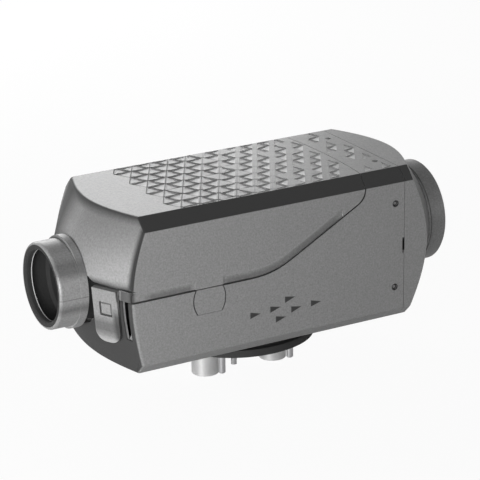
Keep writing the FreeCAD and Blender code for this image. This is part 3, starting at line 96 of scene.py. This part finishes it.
# Housing, in the sizes of the part's source
END_X = -139.0 * MM      # front edge of the side walls
END_R = 71.4 * MM        # radius of the end cones at that edge
TOP_CHAMFER = 10.5 * MM
CHEEK_SLOPE = 0.62       # cone of the cover's inlet end, x per radius
CHEEK_X = END_X - CHEEK_SLOPE * END_R
CHEEK_FOOT = AXIS_Z + 7.5 * MM
CHIN_SLOPE = 0.37        # cone of the lower shell's inlet end
CHIN_X = END_X - CHIN_SLOPE * END_R
SEAM_Z = AXIS_Z - 2 * MM
SEAM_BEND = (-6.3 * MM, SEAM_Z)
SEAM_TURN = (84.5 * MM, AXIS_Z + 47.7 * MM)
BEND_ROUND = 14.5 * MM
TURN_ROUND = 11.7 * MM
SEAM_GAP = 0.5 * MM
PORT_X = -67.0 * MM
HOOD_X = 124.0 * MM      # joint of the outlet hood
PEGS = [(HOOD_X - 9 * MM, AXIS_Z + 38 * MM), (HOOD_X - 9 * MM, AXIS_Z - 38 * MM)]
PEG_R = 2.2 * MM
BORE_R = 34.8 * MM       # inside of the inlet collar
EYE_R = 30.4 * MM        # opening inside its rolled rim

# Latch tongue on the near side: a point of its face on the axis level, its slant and its lean
TONGUE_FACE = (-152.82 * MM, -49.6 * MM, AXIS_Z)
TONGUE_SLOPE = 0.5
TONGUE_TILT = 0.12
WINDOW_DROP = 11.0 * MM
CATCH_HALF = 5.2 * MM
CATCH_DEPTH = 2.4 * MM
CATCH_POWER = 14         # how sharply the catch's edges turn in
CATCH_GRID = 33

# Colours of the mouldings, as linear values
GREY = (0.2, 0.2, 0.2)
# painted shade: the lattice's lines and the upper part of its walls
SHADE_LINE = (0.035, 0.035, 0.035)
# painted highlight: pale floors of the sunk triangles
FLOOR_HIGHLIGHT = (0.5, 0.5, 0.5)
# painted highlight: lower walls of the lattice, the border's crest, the tongues' tips and the edge inside the
# inlet rim
PAINTED_HIGHLIGHT = (0.5, 0.5, 0.5)
# the real dark chamfer band, and also painted shade on the cover's border, inlet end and tongues and on the
# inlet collar
BAND_AND_SHADE = (0.01, 0.01, 0.01)
# painted shade on the lower shell's inlet end
CHIN_SHADE_GREY = (0.022, 0.022, 0.022)
# painted shade along the cover's end edges, under its roll, on the strip below it and along its brow
EDGE_SHADE_GREY = (0.012, 0.012, 0.012)
MARK = (0.02, 0.02, 0.02)
# painted shade: black in the bore, along the seam's rims, in the peg rings, the pry slots, beside the plug
# and on the collar's parting line
SHADOW_BLACK = (0.006, 0.006, 0.006)
ROUGHNESS = 0.38
DULL = 0.9               # roughness of the dulled places
SHEEN = 0.7
GRAIN_SCALE = 650.0
GRAIN_TINT = 0.9
GRAIN_BUMP = 0.6
GRAIN_HEIGHT = 0.3 * MM

# Plain finishes by slot: colour, roughness, metallic, then the grain's scale, tint and bump
PLAIN = {
    "gasket_rubber": ((0.012, 0.012, 0.012), 0.7, 0.0, 600.0, 0.1, 0.1),
    "pipe_metal": ((0.7, 0.7, 0.7), 0.35, 0.8, 300.0, 0.08, 0.05),
    "zinc_steel": ((0.75, 0.75, 0.76), 0.3, 1.0, 500.0, 0.1, 0.05),
    "cast_aluminium": ((0.6, 0.6, 0.6), 0.5, 1.0, 700.0, 0.15, 0.3),
    "heat_steel": ((0.36, 0.3, 0.25), 0.4, 1.0, 120.0, 0.5, 0.05),
    "motor_steel": ((0.5, 0.5, 0.52), 0.35, 1.0, 400.0, 0.1, 0.05),
    "black_plastic": ((0.02, 0.02, 0.021), 0.5, 0.0, 900.0, 0.1, 0.2),
    "lead_sheath": ((0.025, 0.025, 0.028), 0.6, 0.0, 900.0, 0.1, 0.1),
}

# Soft edges of masks. In the values below, a pair is a limit and its soft edge, and a triple is two limits
# and their soft edge.
EDGE = 0.2 * MM
FINE = 0.1 * MM
FINEST = 0.05 * MM

# Lattice of the sunk triangles on the top, drawn with painted shade lines and painted highlights
LATTICE_X = -84.35 * MM  # one corner
LATTICE_Y = 2.9 * MM
LATTICE_SIDE = 17.3 * MM
LATTICE_ROW = LATTICE_SIDE * math.sqrt(3) / 2
LATTICE_DEPTH = 1.4 * MM  # below every floor
LATTICE_FRONT = -93.0 * MM
LATTICE_BACK = HOOD_X - 1 * MM
LATTICE_LINE = 2.0 * MM
LATTICE_POST = 0.9 * MM
LINE_EDGE = 0.3          # soft share of a line's width
LINE_START = (-1 * MM, 0.5 * MM)
LINE_FADE = (-40.0 * MM, 70.0 * MM)      # lines fade out towards the outlet
LINE_SHARE = (0.9, -0.85)                # share of a line at the inlet, and its change
POST_SHARE = (0.95, -0.9)
# painted highlight on the floors, growing towards the outlet
FLOOR_REAR = (LATTICE_FRONT + 50 * MM, 100 * MM)    # floors get paler towards the outlet
FLOOR_SHARE = (0.6, 0.4)
# painted shade on the upper part of the walls, painted highlight below it
WALL_LINE = 0.16 * MM    # upper part of the triangles' walls, which reads as a line
WALL_FOOT = 0.48 * MM    # highest floor

# Dark band along the top chamfers
BAND_EDGE = (HALF_WIDTH + TOP_Z - TOP_CHAMFER - 0.5 * MM, 0.3 * MM)

# Painted shade on the cover's border along the seam, with a painted highlight along its crest
COVER_SIDE = HALF_WIDTH - 3 * MM
# painted shade on the rims beside the open seam
SEAM_LINE = 0.25 * MM    # dark rims beside the open seam
PORT_CLEAR = (15 * MM, 3 * MM)
BORDER = 7.0 * MM
BORDER_SPAN = (-128.0 * MM, 62.0 * MM, 8 * MM)
BORDER_TOP = (BORDER, 4 * MM)
BORDER_SHADE = 0.42
CREST = (BORDER - 0.5 * MM, BORDER + 1.5 * MM, 1.5 * MM)
CREST_HIGHLIGHT = 0.12

# Painted shade on the cover's inlet end, placed by the distance before its cone
RIM_OUT = (HALF_WIDTH - 4.5 * MM, 3.5 * MM)
RIM_BEFORE = (-2.6 * MM, 0.8 * MM)
ROLL_FOOT = CHEEK_FOOT - 0.5 * MM
ROLL_FRONT = (-137.5 * MM, 2 * MM)
ROLL_TOP = (CHEEK_FOOT + 8.5 * MM, 8 * MM)
ROLL_SHADE = 0.85
STRIP_FRONT = (-134 * MM, 3 * MM)
STRIP_OUT = HALF_WIDTH - 11 * MM
STRIP_SHADE = 0.7
BROW_FOOT = (TOP_Z - 7 * MM, 6.5 * MM)
BROW_BEFORE = (-2.6 * MM, 1.5 * MM)
BROW_SHADE = 0.9
END_BEFORE = (-2 * MM, 2 * MM)
END_FOOT = (AXIS_Z + 30 * MM, 40 * MM)
END_SHADE = 0.5
FAR_FROM = (0, 35 * MM)
FAR_TO = (68 * MM, 14 * MM)
FAR_SHADE = 0.85
FAR_DULL = 0.9

# Painted shade and a painted highlight on the cover's latch tongues
TONGUE_FRONT = -142 * MM
WAIST = (AXIS_Z - 37 * MM, AXIS_Z - 17 * MM, 7 * MM)
WAIST_SHADE = 0.6
FLANK_OUT = (53 * MM, 4 * MM)
FLANK_TOP = (AXIS_Z - 8 * MM, 8 * MM)
FLANK_SHADE = 0.8
TIP_TOP = (AXIS_Z - 35 * MM, 4 * MM)
TIP_HIGHLIGHT = 0.3

# Marks of the lower shell and the outlet hood: painted shade on the shell's inlet end, in the peg holes and
# in the pry slots
SHELL_SIDE = HALF_WIDTH - 1 * MM
# painted shade on the lower shell's inlet end, placed by the distance before its cone
CHIN_BEFORE = (-1.6 * MM, 0.8 * MM)
PEG_RING = (0.6 * PEG_R, 1.4 * PEG_R, FINE)
SLOT_HEIGHT = (AXIS_Z - 6 * MM, AXIS_Z + 6 * MM, FINE)
SHELL_SLOT = (HOOD_X - 1.7 * MM, HOOD_X + 1 * MM, FINE)
HOOD_SLOT = (HOOD_X - 1 * MM, HOOD_X + 0.6 * MM, FINE)

# Marks of the inlet collar: bands of painted shade, a painted shade line on the parting, painted shade in the
# bore and a painted highlight on the edge inside the rim
COLLAR_SHADE_STREAKS = [(AXIS_Z + 13 * MM, AXIS_Z + 31 * MM, 6 * MM), (AXIS_Z - 18 * MM, AXIS_Z - 5 * MM, 6 * MM)]
STREAK_SHADE = 0.5
PARTING = (AXIS_Z - 2.3 * MM, AXIS_Z - 1.7 * MM, FINE)
PARTING_SHADE = 0.6
EYE_DEPTH = (RIM_X + 5.2 * MM, RIM_X + 6.1 * MM, FINE)
EYE_EDGE = (EYE_R - 0.3 * MM, EYE_R + 0.5 * MM, FINE)

# Cable port plug, in millimetres: its middle under the seam, then its half width there, its bow and its lean
PLUG_DROP = 11.2
PLUG_HALF = 15.5
PLUG_BOW = 0.0249
PLUG_LEAN = 0.056
# painted shade in the gap beside the plug's flanks
PLUG_RIM = 1.0 * MM

# Air-direction arrows on the near side: base x, upper end of the base, tip x, tip z
ARROW_BASE = 6 * MM
ARROW_LENGTH = 10.6
ARROW_TAIL = 0.03        # soft share of the length at the base
ARROW_FROM = 186 * MM
ARROWS = [
    (x * MM - ARROW_FROM, base * MM + AXIS_Z, (x + ARROW_LENGTH) * MM - ARROW_FROM, tip * MM + AXIS_Z)
    for x, base, tip in (
        (157.1, -31.9, -34.8), (176.4, -30.4, -32.7), (190.7, -24.4, -26.3),
        (196.8, -34.5, -36.4), (181.7, -40.3, -42.6), (216.2, -32.9, -35.8))
]


# Formulas over a surface

class Field:
    """Value or colour over a surface: a node socket that can be written into formulas."""

    def __init__(self, tree, socket):
        self.tree = tree
        self.socket = socket

    def __add__(self, other):
        return computed(self.tree, "ADD", self, other)

    __radd__ = __add__

    def __sub__(self, other):
        return computed(self.tree, "SUBTRACT", self, other)

    def __rsub__(self, other):
        return computed(self.tree, "SUBTRACT", other, self)

    def __mul__(self, other):
        return computed(self.tree, "MULTIPLY", self, other)

    __rmul__ = __mul__

    def __truediv__(self, other):
        return computed(self.tree, "DIVIDE", self, other)

    def __abs__(self):
        return computed(self.tree, "ABSOLUTE", self)

    def bounced(self, turn):
        """Value that runs to and fro between 0 and a turn."""
        return computed(self.tree, "PINGPONG", self, turn)

    def rounded_least(self, other, size):
        """Lesser of two values, rounded where they meet."""
        return computed(self.tree, "SMOOTH_MIN", self, other, size)

    def above(self, start, soft=EDGE):
        """Mask that climbs from 0 at a start to 1 over a soft edge."""
        mask = (self - start) / soft
        mask.socket.node.use_clamp = True
        return mask

    def below(self, end, soft=EDGE):
        """Mask that is 1 up to a soft edge before an end, and 0 from there on."""
        return (self * -1).above(-end, soft)

    def between(self, low, high, soft=EDGE):
        """Mask that is 1 between two limits."""
        return self.above(low, soft) * self.below(high, soft)

    def feed(self, node, entry):
        """Link this field to an entry of a node."""
        self.tree.links.new(self.socket, node.inputs[entry])


def computed(tree, operation, *terms):
    """Field that one Math node makes of fields or numbers."""
    node = tree.nodes.new("ShaderNodeMath")
    node.operation = operation
    for number, term in enumerate(terms):
        if isinstance(term, Field):
            term.feed(node, number)
        else:
            node.inputs[number].default_value = term
    return Field(tree, node.outputs[0])


def most(first, *others):
    """Greatest of several fields."""
    for other in others:
        first = computed(first.tree, "MAXIMUM", first, other)
    return first


def radius(a, b):
    """Length of the vector (a, b)."""
    return computed(a.tree, "SQRT", a * a + b * b)


def split(tree, output):
    """The three coordinates that a Texture Coordinate node puts out."""
    where = tree.nodes.new("ShaderNodeTexCoord")
    parts = tree.nodes.new("ShaderNodeSeparateXYZ")
    tree.links.new(where.outputs[output], parts.inputs[0])
    return [Field(tree, socket) for socket in parts.outputs]


def places(tree):
    """The surface point's x, y and z in metres."""
    return split(tree, "Object")


def blend(share, first, second):
    """Mix of two colours, each a field or three linear values."""
    node = share.tree.nodes.new("ShaderNodeMix")
    node.data_type = "RGBA"
    share.feed(node, 0)
    for entry, colour in ((6, first), (7, second)):
        if isinstance(colour, Field):
            colour.feed(node, entry)
        else:
            node.inputs[entry].default_value = (*colour, 1)
    return Field(share.tree, node.outputs[2])


def painted(colour, layers):
    """Colour under several layers, each a mask with its paint."""
    for mask, paint in layers:
        colour = blend(mask, colour, paint)
    return colour


# Stage

def camera():
    """Camera on a sphere about the aim point, rolled about its view, slid so the aim sits off the middle."""
    turn = math.radians(CAMERA_TURN)
    height = math.radians(CAMERA_HEIGHT)
    roll = math.radians(CAMERA_ROLL)
    back = Vector((math.sin(turn) * math.cos(height), -math.cos(turn) * math.cos(height), math.sin(height)))
    right = (-back).cross(Vector((0, 0, 1))).normalized()
    up = right.cross(-back)
    right, up = right * math.cos(roll) + up * math.sin(roll), up * math.cos(roll) - right * math.sin(roll)
    width = CAMERA_DISTANCE * SENSOR / LENS
    eye = AIM + back * CAMERA_DISTANCE - right * AIM_OFFSET[0] * width + up * AIM_OFFSET[1] * width
    data = bpy.data.cameras.new("camera")
    data.sensor_width = SENSOR
    data.lens = LENS
    made = bpy.data.objects.new("camera", data)
    turned = Matrix((right, up, back)).transposed().to_4x4()
    made.matrix_world = Matrix.Translation(eye) @ turned
    bpy.context.scene.collection.objects.link(made)
    bpy.context.scene.camera = made


def lamp(name, place, aim, size, power):
    """Rectangular soft light that faces its aim."""
    data = bpy.data.lights.new(name, "AREA")
    data.shape = "RECTANGLE"
    data.size, data.size_y = size
    data.energy = power
    made = bpy.data.objects.new(name, data)
    made.location = place
    made.rotation_euler = (Vector(aim) - Vector(place)).to_track_quat("-Z", "Y").to_euler()
    bpy.context.scene.collection.objects.link(made)


def floor():
    """Square floor under the pipes, nearly white to the camera, with the heater's soft shadow."""
    mesh = bpy.data.meshes.new("floor")
    around = ((-1, -1), (1, -1), (1, 1), (-1, 1))
    corners = [(GROUND_REACH * a, GROUND_REACH * b, FLOOR_Z) for a, b in around]
    mesh.from_pydata(corners, [], [(0, 1, 2, 3)])
    made = bpy.data.objects.new("floor", mesh)
    bpy.context.scene.collection.objects.link(made)
    material = bpy.data.materials.new("white_ground")
    material.use_nodes = True
    tree = material.node_tree
    shader = tree.nodes["Principled BSDF"]
    shader.inputs["Base Color"].default_value = (GROUND_GREY, GROUND_GREY, GROUND_GREY, 1)
    shader.inputs["Roughness"].default_value = GROUND_ROUGHNESS
    glow = tree.nodes.new("ShaderNodeEmission")
    glow.inputs["Color"].default_value = (1, 1, 1, 1)
    seen = tree.nodes.new("ShaderNodeLightPath")
    mix = tree.nodes.new("ShaderNodeMixShader")
    share = Field(tree, seen.outputs["Is Camera Ray"]) * GROUND_GLOW
    share.feed(mix, 0)
    tree.links.new(shader.outputs[0], mix.inputs[1])
    tree.links.new(glow.outputs[0], mix.inputs[2])
    tree.links.new(mix.outputs[0], tree.nodes["Material Output"].inputs["Surface"])
    mesh.materials.append(material)


def studio():
    """World that is white to the camera and in reflections, but for a grey ceiling, with a soft fill."""
    world = bpy.data.worlds.new("studio")
    bpy.context.scene.world = world
    world.use_nodes = True
    tree = world.node_tree
    path = tree.nodes.new("ShaderNodeLightPath")
    seen, mirrored, passed = (
        Field(tree, path.outputs[name]) for name in ("Is Camera Ray", "Is Glossy Ray", "Is Transmission Ray"))
    shown = most(seen, mirrored, passed)
    rise = split(tree, "Generated")[2]
    walls = rise.above(CEILING_FROM, CEILING_FULL - CEILING_FROM) * (CEILING - 1) + 1
    level = shown * most(walls, seen) + (1 - shown) * FILL
    background = tree.nodes["Background"]
    level.feed(background, "Strength")
    background.inputs["Color"].default_value = (1, 1, 1, 1)


# Effects that several finishes share

def new_group(name, inputs, outputs):
    """Empty shader group with inputs and outputs, each a label with its kind of socket."""
    made = bpy.data.node_groups.new(name, "ShaderNodeTree")
    for label, kind in inputs:
        made.interface.new_socket(label, in_out="INPUT", socket_type=kind)
    for label, kind in outputs:
        made.interface.new_socket(label, in_out="OUTPUT", socket_type=kind)
    return made, made.nodes.new("NodeGroupInput"), made.nodes.new("NodeGroupOutput")


def placed(tree, group):
    """Node that puts a group into a material."""
    node = tree.nodes.new("ShaderNodeGroup")
    node.node_tree = group
    return node


def grain_group():
    """Fine surface grain: a height for the bump and a tint about 1 for the colour."""
    made, entry, leave = new_group(
        "grain", [("Scale", "NodeSocketFloat"), ("Tint Amount", "NodeSocketFloat")],
        [("Height", "NodeSocketFloat"), ("Tint", "NodeSocketFloat")])
    where = made.nodes.new("ShaderNodeTexCoord")
    noise = made.nodes.new("ShaderNodeTexNoise")
    noise.inputs["Detail"].default_value = 3.0
    made.links.new(where.outputs["Object"], noise.inputs["Vector"])
    made.links.new(entry.outputs["Scale"], noise.inputs["Scale"])
    height = Field(made, noise.outputs["Fac"])
    tint = (height - 0.5) * Field(made, entry.outputs["Tint Amount"]) + 1.0
    height.feed(leave, "Height")
    tint.feed(leave, "Tint")
    return made


def lattice_lines(x, y, spread, width):
    """Mask of one family of lattice lines.

    It is 1 where ((x - corner) cos + (y - corner) sin) / row is near a whole number.
    """
    rows = ((x - LATTICE_X) * spread[0] + (y - LATTICE_Y) * spread[1]) / LATTICE_ROW
    away = abs(rows).bounced(0.5)
    return away.below(width / 2 / LATTICE_ROW, LINE_EDGE * width / LATTICE_ROW)


def lattice_group():
    """Triangle lattice on a colour: painted shade lines along two families, fainter ones along the third,
    painted highlight on the floors; on the walls, painted shade above and a painted highlight below.

    The front ends in a zigzag, half a side deep, from row to row. Lines is the mask of the lines.
    """
    made, entry, leave = new_group(
        "lattice", [("Color", "NodeSocketColor")],
        [("Color", "NodeSocketColor"), ("Lines", "NodeSocketFloat")])
    x, y, z = places(made)
    cosine = math.sqrt(3) / 2
    drop = TOP_Z - z
    inside = drop.below(LATTICE_DEPTH) * x.between(LATTICE_FRONT, LATTICE_BACK)
    sunk = inside * drop.above(FINEST, FINEST)
    rear = x.above(*FLOOR_REAR)
    ground = sunk * (rear * FLOOR_SHARE[1] + FLOOR_SHARE[0])
    rows = lattice_lines(x, y, (0, 1), LATTICE_LINE)
    slants = lattice_lines(x, y, (cosine, 0.5), LATTICE_LINE)
    posts = lattice_lines(x, y, (cosine, -0.5), LATTICE_POST)
    lines = most(rows, slants, posts * (rear * POST_SHARE[1] + POST_SHARE[0]))
    land = drop.below(FINE, FINEST)
    zigzag = abs((y - LATTICE_Y) / LATTICE_ROW).bounced(1)
    begun = (x - (zigzag * (-LATTICE_SIDE / 2) + LATTICE_X)).above(*LINE_START)
    fade = x.above(*LINE_FADE) * LINE_SHARE[1] + LINE_SHARE[0]
    drawn = lines * inside * land * begun * fade
    wall = sunk * drop.below(WALL_FOOT, FINEST)
    lined = blend(drop.above(WALL_LINE, FINEST), SHADE_LINE, PAINTED_HIGHLIGHT)
    bare = Field(made, entry.outputs["Color"])
    colour = painted(bare, [(ground, FLOOR_HIGHLIGHT), (drawn, SHADE_LINE), (wall, lined)])
    colour.feed(leave, "Color")
    drawn.feed(leave, "Lines")
    return made


def seam_group():
    """Height over the seam on the sides: the least of the level, slanted and upright stretch, rounded."""
    made, _, leave = new_group("seam", [], [("Height", "NodeSocketFloat")])
    x, _, z = places(made)
    run = (Vector(SEAM_TURN) - Vector(SEAM_BEND)).normalized()
    level = z - SEAM_Z
    slant = level * run.x - (x - SEAM_BEND[0]) * run.y
    upright = SEAM_TURN[0] - x
    level.rounded_least(slant, BEND_ROUND).rounded_least(upright, TURN_ROUND).feed(leave, "Height")
    return made


def band_group():
    """Mask of the bands along the top chamfers."""
    made, _, leave = new_group("band", [], [("Mask", "NodeSocketFloat")])
    _, y, z = places(made)
    (abs(y) + z).above(*BAND_EDGE).feed(leave, "Mask")
    return made


GRAIN = grain_group()
LATTICE = lattice_group()
SEAM = seam_group()
CHAMFER_BAND = band_group()


# Finishes

def finish(name, colour, roughness, metallic, scale, tint, bump):
    """Grained finish. Returns the material, its tinted colour, its grain's height and its bump node."""
    material = bpy.data.materials.new(name)
    material.use_nodes = True
    tree = material.node_tree
    shader = tree.nodes["Principled BSDF"]
    shader.inputs["Metallic"].default_value = metallic
    shader.inputs["Roughness"].default_value = roughness
    grain = placed(tree, GRAIN)
    grain.inputs["Scale"].default_value = scale
    grain.inputs["Tint Amount"].default_value = tint
    tinted = tree.nodes.new("ShaderNodeVectorMath")
    tinted.operation = "SCALE"
    tinted.inputs[0].default_value = colour
    tree.links.new(grain.outputs["Tint"], tinted.inputs["Scale"])
    tree.links.new(tinted.outputs[0], shader.inputs["Base Color"])
    relief = tree.nodes.new("ShaderNodeBump")
    relief.inputs["Strength"].default_value = bump
    relief.inputs["Distance"].default_value = GRAIN_HEIGHT
    tree.links.new(grain.outputs["Height"], relief.inputs["Height"])
    tree.links.new(relief.outputs[0], shader.inputs["Normal"])
    return material, Field(tree, tinted.outputs[0]), Field(tree, grain.outputs["Height"]), relief


def moulding(name, marks=None):
    """Grained grey moulding with the smooth dark band along the top chamfers, and the piece's own marks."""
    material, colour, height, relief = finish(
        name, GREY, ROUGHNESS, 0.0, GRAIN_SCALE, GRAIN_TINT, GRAIN_BUMP)
    tree = material.node_tree
    shader = tree.nodes["Principled BSDF"]
    shader.inputs["Specular IOR Level"].default_value = SHEEN
    if marks:
        colour = marks(tree, *places(tree), colour)
    band = Field(tree, placed(tree, CHAMFER_BAND).outputs["Mask"])
    blend(band, colour, BAND_AND_SHADE).feed(shader, "Base Color")
    (height * (1.0 - band)).feed(relief, "Height")
    return material


def roughen(tree, share):
    """Duller surface where the share is 1."""
    (share * (DULL - ROUGHNESS) + ROUGHNESS).feed(tree.nodes["Principled BSDF"], "Roughness")


def lattice(tree, colour):
    """Colour with the lattice's painted shade and highlights on it, and the mask of its painted shade lines.
    """
    node = placed(tree, LATTICE)
    colour.feed(node, "Color")
    return Field(tree, node.outputs["Color"]), Field(tree, node.outputs["Lines"])


def seam_height(tree):
    """Height over the seam, from its group."""
    return Field(tree, placed(tree, SEAM).outputs["Height"])


def peg_rings(x, z):
    """Rings of painted shade where the pegs stand in their holes."""
    return [radius(x - across, z - up).between(*PEG_RING) for across, up in PEGS]


def arrow_marks(x, y, z):
    """Mask of the six flat arrows: inside three straight edges, on the near side."""
    total = 0.0
    for base_x, base_top, tip_x, tip_z in ARROWS:
        along = (x - base_x) / (tip_x - base_x)
        upper = along * (tip_z - base_top) + base_top
        lower = along * (tip_z - base_top + ARROW_BASE) + (base_top - ARROW_BASE)
        total = total + (upper - z).above(0) * (z - lower).above(0) * along.above(0, ARROW_TAIL)
    return total * y.below(-SHELL_SIDE)


def shell_marks(tree, x, y, z, colour):
    """Lower shell: lattice, arrows, painted shade on its dulled inlet end, painted shade on the rim under the
    seam, in the peg rings and in the pry slots.
    """
    colour, lines = lattice(tree, colour)
    side = abs(y).above(SHELL_SIDE)
    before = radius(y, z - AXIS_Z) * CHIN_SLOPE + CHIN_X - x
    end = before.above(*CHIN_BEFORE)
    roughen(tree, most(end, lines))
    seam = side * seam_height(tree).above(-SEAM_GAP - SEAM_LINE, FINE)
    slot = x.between(*SHELL_SLOT) * z.between(*SLOT_HEIGHT)
    rings = [(side * ring, SHADOW_BLACK) for ring in peg_rings(x, z)]
    return painted(colour, [
        (arrow_marks(x, y, z), MARK), (end, CHIN_SHADE_GREY), (seam, SHADOW_BLACK), *rings, (slot, SHADOW_BLACK)])


def cover_marks(tree, x, y, z, colour):
    """Cover: lattice; painted shade on the border and the seam's rims, on the edges and faces of its end and
    on its tongues; painted highlights on the crest and the tongues' tips.
    """
    colour, lines = lattice(tree, colour)
    out = abs(y)
    over = seam_height(tree)
    side = out.above(COVER_SIDE)
    border = side * abs(x - PORT_X).above(*PORT_CLEAR) * x.between(*BORDER_SPAN)
    shade = border * over.below(*BORDER_TOP) * BORDER_SHADE
    crest = border * over.between(*CREST) * CREST_HIGHLIGHT
    seam = side * over.below(SEAM_LINE, FINE)

    before = radius(y, z - AXIS_Z) * CHEEK_SLOPE + CHEEK_X - x
    rim = out.above(*RIM_OUT) * before.above(*RIM_BEFORE)
    roll = x.below(*ROLL_FRONT) * z.above(ROLL_FOOT) * z.below(*ROLL_TOP) * ROLL_SHADE
    strip = x.below(*STRIP_FRONT) * z.between(SEAM_Z, ROLL_FOOT) * out.above(STRIP_OUT) * STRIP_SHADE
    brow = z.above(*BROW_FOOT) * before.above(*BROW_BEFORE) * BROW_SHADE
    end = before.above(*END_BEFORE)
    upper = end * z.above(*END_FOOT) * END_SHADE
    far = end * y.above(*FAR_FROM) * y.below(*FAR_TO)

    tongue = x.below(TONGUE_FRONT)
    waist = tongue * z.between(*WAIST) * WAIST_SHADE
    flank = tongue * out.above(*FLANK_OUT) * z.below(*FLANK_TOP) * FLANK_SHADE
    tip = tongue * z.below(*TIP_TOP) * TIP_HIGHLIGHT

    roughen(tree, most(rim, brow, roll, lines, waist, flank, far * FAR_DULL))
    return painted(colour, [
        (shade, BAND_AND_SHADE), (crest, PAINTED_HIGHLIGHT), (seam, SHADOW_BLACK),
        (rim, EDGE_SHADE_GREY), (roll, EDGE_SHADE_GREY), (strip, EDGE_SHADE_GREY),
        (waist, BAND_AND_SHADE), (flank, BAND_AND_SHADE), (tip, PAINTED_HIGHLIGHT),
        (brow, EDGE_SHADE_GREY), (upper, BAND_AND_SHADE), (far * FAR_SHADE, BAND_AND_SHADE)])


def hood_marks(tree, x, y, z, colour):
    """Outlet hood: lattice, painted shade around its pegs and in its share of the pry slots."""
    colour, lines = lattice(tree, colour)
    roughen(tree, lines)
    slot = x.between(*HOOD_SLOT) * z.between(*SLOT_HEIGHT)
    return painted(colour, [*((ring, SHADOW_BLACK) for ring in peg_rings(x, z)), (slot, SHADOW_BLACK)])


def inlet_marks(tree, x, y, z, colour):
    """Inlet collar: bands of painted shade, a painted shade line on the parting line of its mould, painted
    shade in the dulled bore, a painted highlight on the edge at the rim's end.
    """
    away = radius(y, z - AXIS_Z)
    shade_streaks = [(z.between(*streak) * STREAK_SHADE, BAND_AND_SHADE) for streak in COLLAR_SHADE_STREAKS]
    parting = z.between(*PARTING) * PARTING_SHADE
    inner = away.below(BORE_R)
    roughen(tree, inner)
    edge = x.between(*EYE_DEPTH) * away.between(*EYE_EDGE)
    return painted(colour, [*shade_streaks, (parting, SHADOW_BLACK), (inner, SHADOW_BLACK), (edge, PAINTED_HIGHLIGHT)])


def plug_marks(tree, x, y, z, colour):
    """Port plug: painted shade in the gaps beside its bowed flanks, whose half width is half - bow h^2 + lean
    h, in mm.
    """
    h = (z - SEAM_Z) / MM + PLUG_DROP
    half = (h * h * -PLUG_BOW + PLUG_HALF + h * PLUG_LEAN) * MM
    rim = (abs(x - PORT_X) - half).above(-PLUG_RIM, FINE)
    return painted(colour, [(rim, SHADOW_BLACK)])


def dress():
    """Give every node the finish of its slot, and the housing pieces their own mouldings."""
    plain = {name: finish(name, *values)[0] for name, values in PLAIN.items()}
    housing = {
        "lower_shell": moulding("shell_moulding", shell_marks),
        "upper_cover": moulding("cover_moulding", cover_marks),
        "outlet_hood": moulding("hood_moulding", hood_marks),
        "inlet_collar": moulding("inlet_moulding", inlet_marks),
        "cable_port_plug": moulding("plug_moulding", plug_marks),
    }
    other = moulding("plain_moulding")
    for part in frame["record"]["subparts"]:
        node, name = part["node"], part["material_slot"]
        material = plain.get(name) or housing.get(node, other)
        mesh = nodes[node].data
        mesh.materials.clear()
        mesh.materials.append(material)


# Pieces of the scene

def catches():
    """Ends of the shell's two latch lugs in the tongues' windows, flush with the tongues' faces.

    Point on the tongue's plane: face + u along + v up - sink out, with sink = depth (max(|a|, |b|))^14 for
    the grid a, b from -1 to 1 and u = a half, v = b half - drop, so that the plate is flat with edges turned
    in.
    """
    width = math.hypot(1, TONGUE_SLOPE)
    along = np.array((TONGUE_SLOPE, -1, 0)) / width
    out = np.array((-1, -TONGUE_SLOPE, -TONGUE_TILT)) / math.hypot(width, TONGUE_TILT)
    up = np.cross(out, along)
    span = np.linspace(-1, 1, CATCH_GRID)
    a, b = np.meshgrid(span, span)
    reach = np.maximum(np.abs(a), np.abs(b))
    sink = CATCH_DEPTH * reach ** CATCH_POWER
    points = (np.array(TONGUE_FACE) + (a * CATCH_HALF)[..., None] * along
              + (b * CATCH_HALF - WINDOW_DROP)[..., None] * up - sink[..., None] * out)
    index = np.arange(CATCH_GRID * CATCH_GRID).reshape(CATCH_GRID, CATCH_GRID)
    corners = (index[:-1, :-1], index[:-1, 1:], index[1:, 1:], index[1:, :-1])
    quads = np.stack(corners, axis=-1).reshape(-1, 4)
    material = moulding("catch_moulding")
    for name, side in (("near_catch", 1), ("far_catch", -1)):
        mesh = bpy.data.meshes.new(name)
        turned = quads if side > 0 else quads[:, ::-1]
        mesh.from_pydata((points * (1, side, 1)).reshape(-1, 3).tolist(), [], turned.tolist())
        mesh.shade_smooth()
        mesh.materials.append(material)
        made = bpy.data.objects.new(name, mesh)
        bpy.context.scene.collection.objects.link(made)
        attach(made, "heater")


camera()
floor()
studio()
for panel in LAMPS:
    lamp(*panel)
dress()
catches()
bpy.context.scene.view_settings.view_transform = "Standard"
